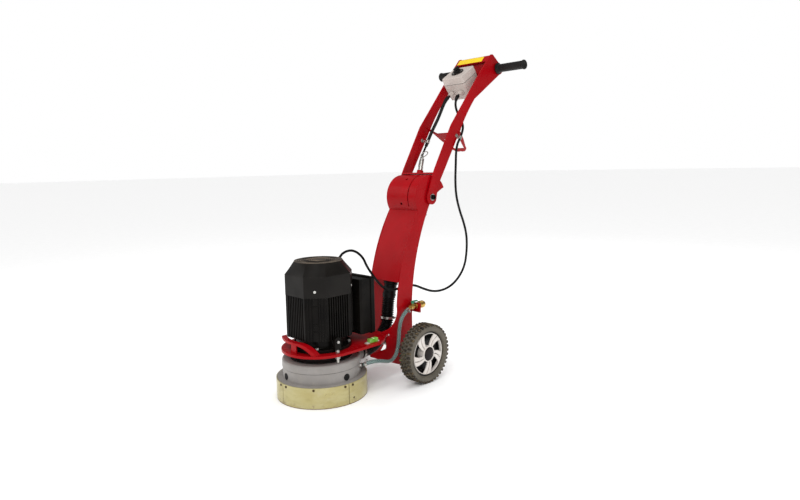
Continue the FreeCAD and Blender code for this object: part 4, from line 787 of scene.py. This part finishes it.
HUB_CAP = [
    (0.0, 0.0466), (0.006, 0.04655), (0.012, 0.0462), (0.018, 0.0454), (0.0216, 0.0442),
    (0.023, 0.0428), (0.023, 0.0416), (0.0, 0.0416),
]

TREAD_COUNT = 42
TREAD_HALF_TURN = 0.3 * 2 * math.pi / TREAD_COUNT
TREAD_ROOT = 0.0925
# Rows of blocks: from, to, shift round in blocks, wander, top, and the step on the wall.
TREAD_ROWS = [
    (0.0008, 0.0142, 0.0, 0.0, 0.0991, (0.0006, 0.0058)),
    (0.0172, 0.0308, 0.5, 0.0006, 0.0995, None),
    (0.0338, 0.0472, 0.0, 0.0, 0.0991, (0.0422, 0.0474)),
]
WALL_STEP = (0.0915, 0.0965)

SPOKES = 5
SPOKE_START = math.radians(28)
SPOKE_INNER, SPOKE_OUTER = 0.0258, 0.0676
SPOKE_SWEEP = math.radians(15)
SPOKE_GAP = 0.0011
SPOKE_CROWN = 0.0016
SPOKE_BACK = 0.0385


def wheel_place(side):
    """From a wheel's own frame, X outward from its inner face, to the machine's."""
    turn = Matrix.Rotation(0.0 if side > 0 else math.pi, 4, "Z")
    return Matrix.Translation(WHEEL + X_AXIS * side * WHEEL_INNER) @ turn


def block(middle, near, far, root, top, draft=0.0011):
    """A tread block between two distances across the wheel, drawn in towards its top."""
    vertices = []
    for radius, inset in ((root, 0.0), (top, draft)):
        turn = TREAD_HALF_TURN - inset / radius
        low, high = near + inset, far - inset
        for across, angle in ((low, -turn), (high, -turn), (high, turn), (low, turn)):
            at = middle + angle
            vertices.append(Vector((across, radius * math.sin(at), radius * math.cos(at))))
    faces = [(0, 1, 2, 3), (4, 7, 6, 5), (0, 4, 5, 1), (1, 5, 6, 2), (2, 6, 7, 3), (3, 7, 4, 0)]
    return vertices, faces


def tread_blocks():
    """Rows of blocks round the tyre, the middle one staggered and uneven."""
    forms = []
    for near, far, shift, wander, top, wall in TREAD_ROWS:
        for step in range(TREAD_COUNT):
            middle = 2 * math.pi * (step + shift) / TREAD_COUNT
            drift = wander * random.uniform(-1, 1)
            forms.append(block(middle, near + drift, far + drift, TREAD_ROOT, top))
            if wall:
                forms.append(block(middle, *wall, *WALL_STEP, draft=0.0004))
    return forms


def spoke_blade(middle, side):
    """Half of a twin spoke: a crowned blade that sweeps on as it goes out."""
    steps, across = 14, 6
    width = across + 3
    vertices = []
    for step in range(steps + 1):
        part = step / steps
        radius = SPOKE_INNER + (SPOKE_OUTER - SPOKE_INNER) * part
        sweep = SPOKE_SWEEP * part ** 1.4
        half = math.radians(17.5 - 1.5 * part)
        gap = SPOKE_GAP / radius
        face = 0.0431 - 0.0026 * part
        row = []
        for cut in range(across + 1):
            share = cut / across
            angle = middle + sweep + side * (gap + (half - gap) * share)
            front = face + SPOKE_CROWN * math.sin(math.pi * share) ** 0.6
            row.append(Vector((front, radius * math.sin(angle), radius * math.cos(angle))))
        vertices += row + [Vector((SPOKE_BACK, edge.y, edge.z)) for edge in (row[-1], row[0])]
    faces = []
    for first in range(0, steps * width, width):
        for cut in range(width):
            beside = (cut + 1) % width
            faces.append((first + cut, first + beside, first + width + beside,
                          first + width + cut))
    faces.append(tuple(range(width)))
    faces.append(tuple(reversed(range(steps * width, (steps + 1) * width))))
    return vertices, faces


def make_wheel(side, name):
    body = "wheel_" + name
    place = wheel_place(side)
    tyre = joined("tyre_walls_" + name, [turned(TYRE_WALLS, 96)], finishes["tyre_rubber"], body,
                  place, 50)
    joined("tyre_blocks_" + name, tread_blocks(), finishes["tread"], body, place, 30)
    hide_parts("tyre_" + name)
    spokes = []
    for step in range(SPOKES):
        middle = 2 * math.pi * step / SPOKES + SPOKE_START
        spokes += [spoke_blade(middle, 1), spoke_blade(middle, -1)]
    rim = joined("rim_spokes_" + name,
                 [*spokes, turned(RIM_LIP, 96), turned(RIM_HUB), turned(RIM_CORE)],
                 finishes["rim_plastic"], body, place, 32)
    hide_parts("rim_" + name)
    joined("rim_barrel_" + name, [turned(RIM_BARREL, 96), turned(RIM_DISH, 96)],
           finishes["black_plastic"], body, place, 32)
    joined("hub_cap_" + name, [turned(HUB_CAP)], finishes["gloss_black"], body, place, 60)


# ---------------------------------------------------------------- handle and switch box

# The top plate's own frame: Y up its slope, Z out of its face.
PLATE_AT = Vector((0.0, 0.3969, 1.104))
PLATE_SLOPE = math.atan2(84, 78)
LABEL_WIDTH, LABEL_DEPTH = 0.124, 0.0285
LABEL_CORNER = Vector((-0.0725, 0.0317, 0.0))
LID_SCREW_X, LID_SCREW_Y = 0.041, 0.039
# Profiles of (radius, distance outward from the knob's pivot).
KNOB_RING = [
    (0.0214, 0.0266), (0.0214, 0.0312), (0.022, 0.0318), (0.0236, 0.0318), (0.0244, 0.031),
    (0.0247, 0.0266),
]
KNOB_DIAL = [(0.0152, 0.0304), (0.0152, 0.0308), (0.0213, 0.0308), (0.0213, 0.0304)]
LID_SCREW = [(0.0, 0.0284), (0.0022, 0.0284), (0.0032, 0.0278), (0.0034, 0.0272), (0.0, 0.0272)]
# Profiles of (radius, distance from the handlebar's middle), before and after the rings.
GRIP_FLANGE = [
    (0.01106, 0.0862), (0.0216, 0.0862), (0.022, 0.0868), (0.022, 0.0895), (0.0214, 0.0902),
    (0.0172, 0.0918), (0.0163, 0.0955),
]
GRIP_END = [
    (0.0164, 0.2025), (0.0182, 0.2048), (0.01845, 0.2065), (0.0182, 0.209), (0.0168, 0.2106),
    (0.006, 0.2108), (0.005, 0.2102), (0.0, 0.2102), (0.0, 0.2062), (0.01106, 0.2062),
]
GRIP_RINGS = 24
GRIP_RING_START, GRIP_RING_PITCH = 0.0975, 0.0043
GRIP_LAND, GRIP_GROOVE = 0.01595, 0.0154


def make_label():
    plate = Matrix.Translation(PLATE_AT) @ Matrix.Rotation(PLATE_SLOPE, 4, "X")
    label = slab(LABEL_WIDTH, LABEL_DEPTH, 0.0004, 0.002, LABEL_CORNER)
    joined("plate_label", [label], finishes["label_yellow"], "handle", plate, 30)


def make_switch_details():
    """Ring and dial round the knob, and the lid's corner screws."""
    box = Matrix.Translation(SWITCH) @ Matrix.Rotation(SWITCH_TILT, 4, "X") @ UPRIGHT
    joined("knob_ring", [turned(KNOB_RING)], finishes["gloss_black"], "handle", box, 40)
    joined("knob_dial", [turned(KNOB_DIAL)], finishes["zinc_steel"], "handle", box, 40)
    corners = [Matrix.Translation((0, y, -x)) for x in (-LID_SCREW_X, LID_SCREW_X)
               for y in (-LID_SCREW_Y, LID_SCREW_Y)]
    screws = [moved(turned(LID_SCREW, 24), corner) for corner in corners]
    joined("lid_screws", screws, finishes["beige_plastic"], "handle", box, 40)


def make_grips():
    """Grips with shallow rings, a flange inside and a bead at the end."""
    rings = []
    for ring in range(GRIP_RINGS):
        start = GRIP_RING_START + GRIP_RING_PITCH * ring
        rings += [(GRIP_GROOVE, start), (GRIP_LAND, start + 0.0008),
                  (GRIP_LAND, start + 0.0028), (GRIP_GROOVE, start + 0.0036)]
    grip = turned([*GRIP_FLANGE, *rings, *GRIP_END], 48)
    pair = [grip, moved(grip, Matrix.Rotation(math.pi, 4, "Z"))]
    grips = joined("ribbed_grips", pair, finishes["grips"], "handle",
                   Matrix.Translation(middle_of("grips")), 40)
    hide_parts("grips")


# ---------------------------------------------------------------- motor and column

PAD_FACE = 0.0988
RIBS_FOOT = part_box("stator_frame")[0].z + 0.0005
RIBS_HEIGHT = 0.134
RIBS_AT = (-0.0315, -0.0225, -0.0135, 0.0135, 0.0225, 0.0315)
NOTCHED_RIB = ((0.0, 0.03), (0.034, 0.052), (0.056, 0.108), (0.112, 0.134))
GRILLE_RADII = (0.021, 0.029, 0.037, 0.045, 0.053, 0.0605)
# Profile of a grille wire: (distance from its middle, height).
GRILLE_WIRE = [(-0.0013, 0.0), (-0.0009, 0.001), (0.0, 0.0015), (0.0009, 0.001), (0.0013, 0.0)]
# A black sheet inside the drum: painted shade behind the seams of its cover.
SHADE_SHEET_INNER, SHADE_SHEET_OUTER = 0.0722, 0.0736
SHADE_SHEET_HALF = 0.066
SHADE_SHEET_FROM, SHADE_SHEET_TURN = 40, 110


def make_motor_ribs():
    """Cooling ribs over each corner pad of the motor's frame, about a notched middle rib."""
    for corner in range(4):
        turn = Matrix.Rotation(math.radians(45 + 90 * corner), 4, "Z")
        place = (Matrix.Translation(HEAD) @ turn
                 @ Matrix.Translation((0, PAD_FACE, RIBS_FOOT)))
        forms = [bar(0.0032, 0.0034, RIBS_HEIGHT, (x, 0, 0)) for x in RIBS_AT]
        forms += [bar(0.0175, 0.0028, high - low, (0, 0, low), 0.0012)
                  for low, high in NOTCHED_RIB]
        joined(f"corner_ribs_{corner + 1}", forms, finishes["black_paint"], "chassis", place, 30)


def make_cover_grille():
    """Concentric wires over the slots in the fan cover's top."""
    place = Matrix.Translation((HEAD.x, HEAD.y, COVER_TOP - 0.0004)) @ UPRIGHT
    wires = [turned([(radius + out, up) for out, up in GRILLE_WIRE], 72)
             for radius in GRILLE_RADII]
    joined("cover_grille", wires, finishes["fan_cover"], "chassis", place, 60)


def make_drum_shade_sheet():
    """Black sheet inside the drum, behind the seams of its cover: painted shade where light would show through."""
    steps = 24
    vertices = []
    for step in range(steps + 1):
        angle = math.radians(SHADE_SHEET_FROM + SHADE_SHEET_TURN * step / steps)
        for radius in (SHADE_SHEET_INNER, SHADE_SHEET_OUTER):
            for x in (-SHADE_SHEET_HALF, SHADE_SHEET_HALF):
                vertices.append(Vector((x, -radius * math.sin(angle), radius * math.cos(angle))))
    last = 4 * steps
    faces = [(0, 2, 3, 1), (last, last + 1, last + 3, last + 2)]
    for first in range(0, last, 4):
        for here, there in ((0, 1), (1, 3), (3, 2), (2, 0)):
            faces.append((first + here, first + there, first + 4 + there, first + 4 + here))
    joined("drum_shade_sheet", [(vertices, faces)], finishes["black_paint"], "chassis",
           Matrix.Translation(PIVOT), 30)


# ---------------------------------------------------------------- the scene

make_camera()
finish_nodes()
make_supply_lead()
make_motor_lead()
make_water_line()
make_dust_hose()
make_drum_shade_sheet()
make_motor_ribs()
make_cover_grille()
make_grips()
make_wheel(1, "left")
make_wheel(-1, "right")
make_label()
make_switch_details()
make_sky()
for light in LIGHTS:
    area_light(*light)
make_floor()
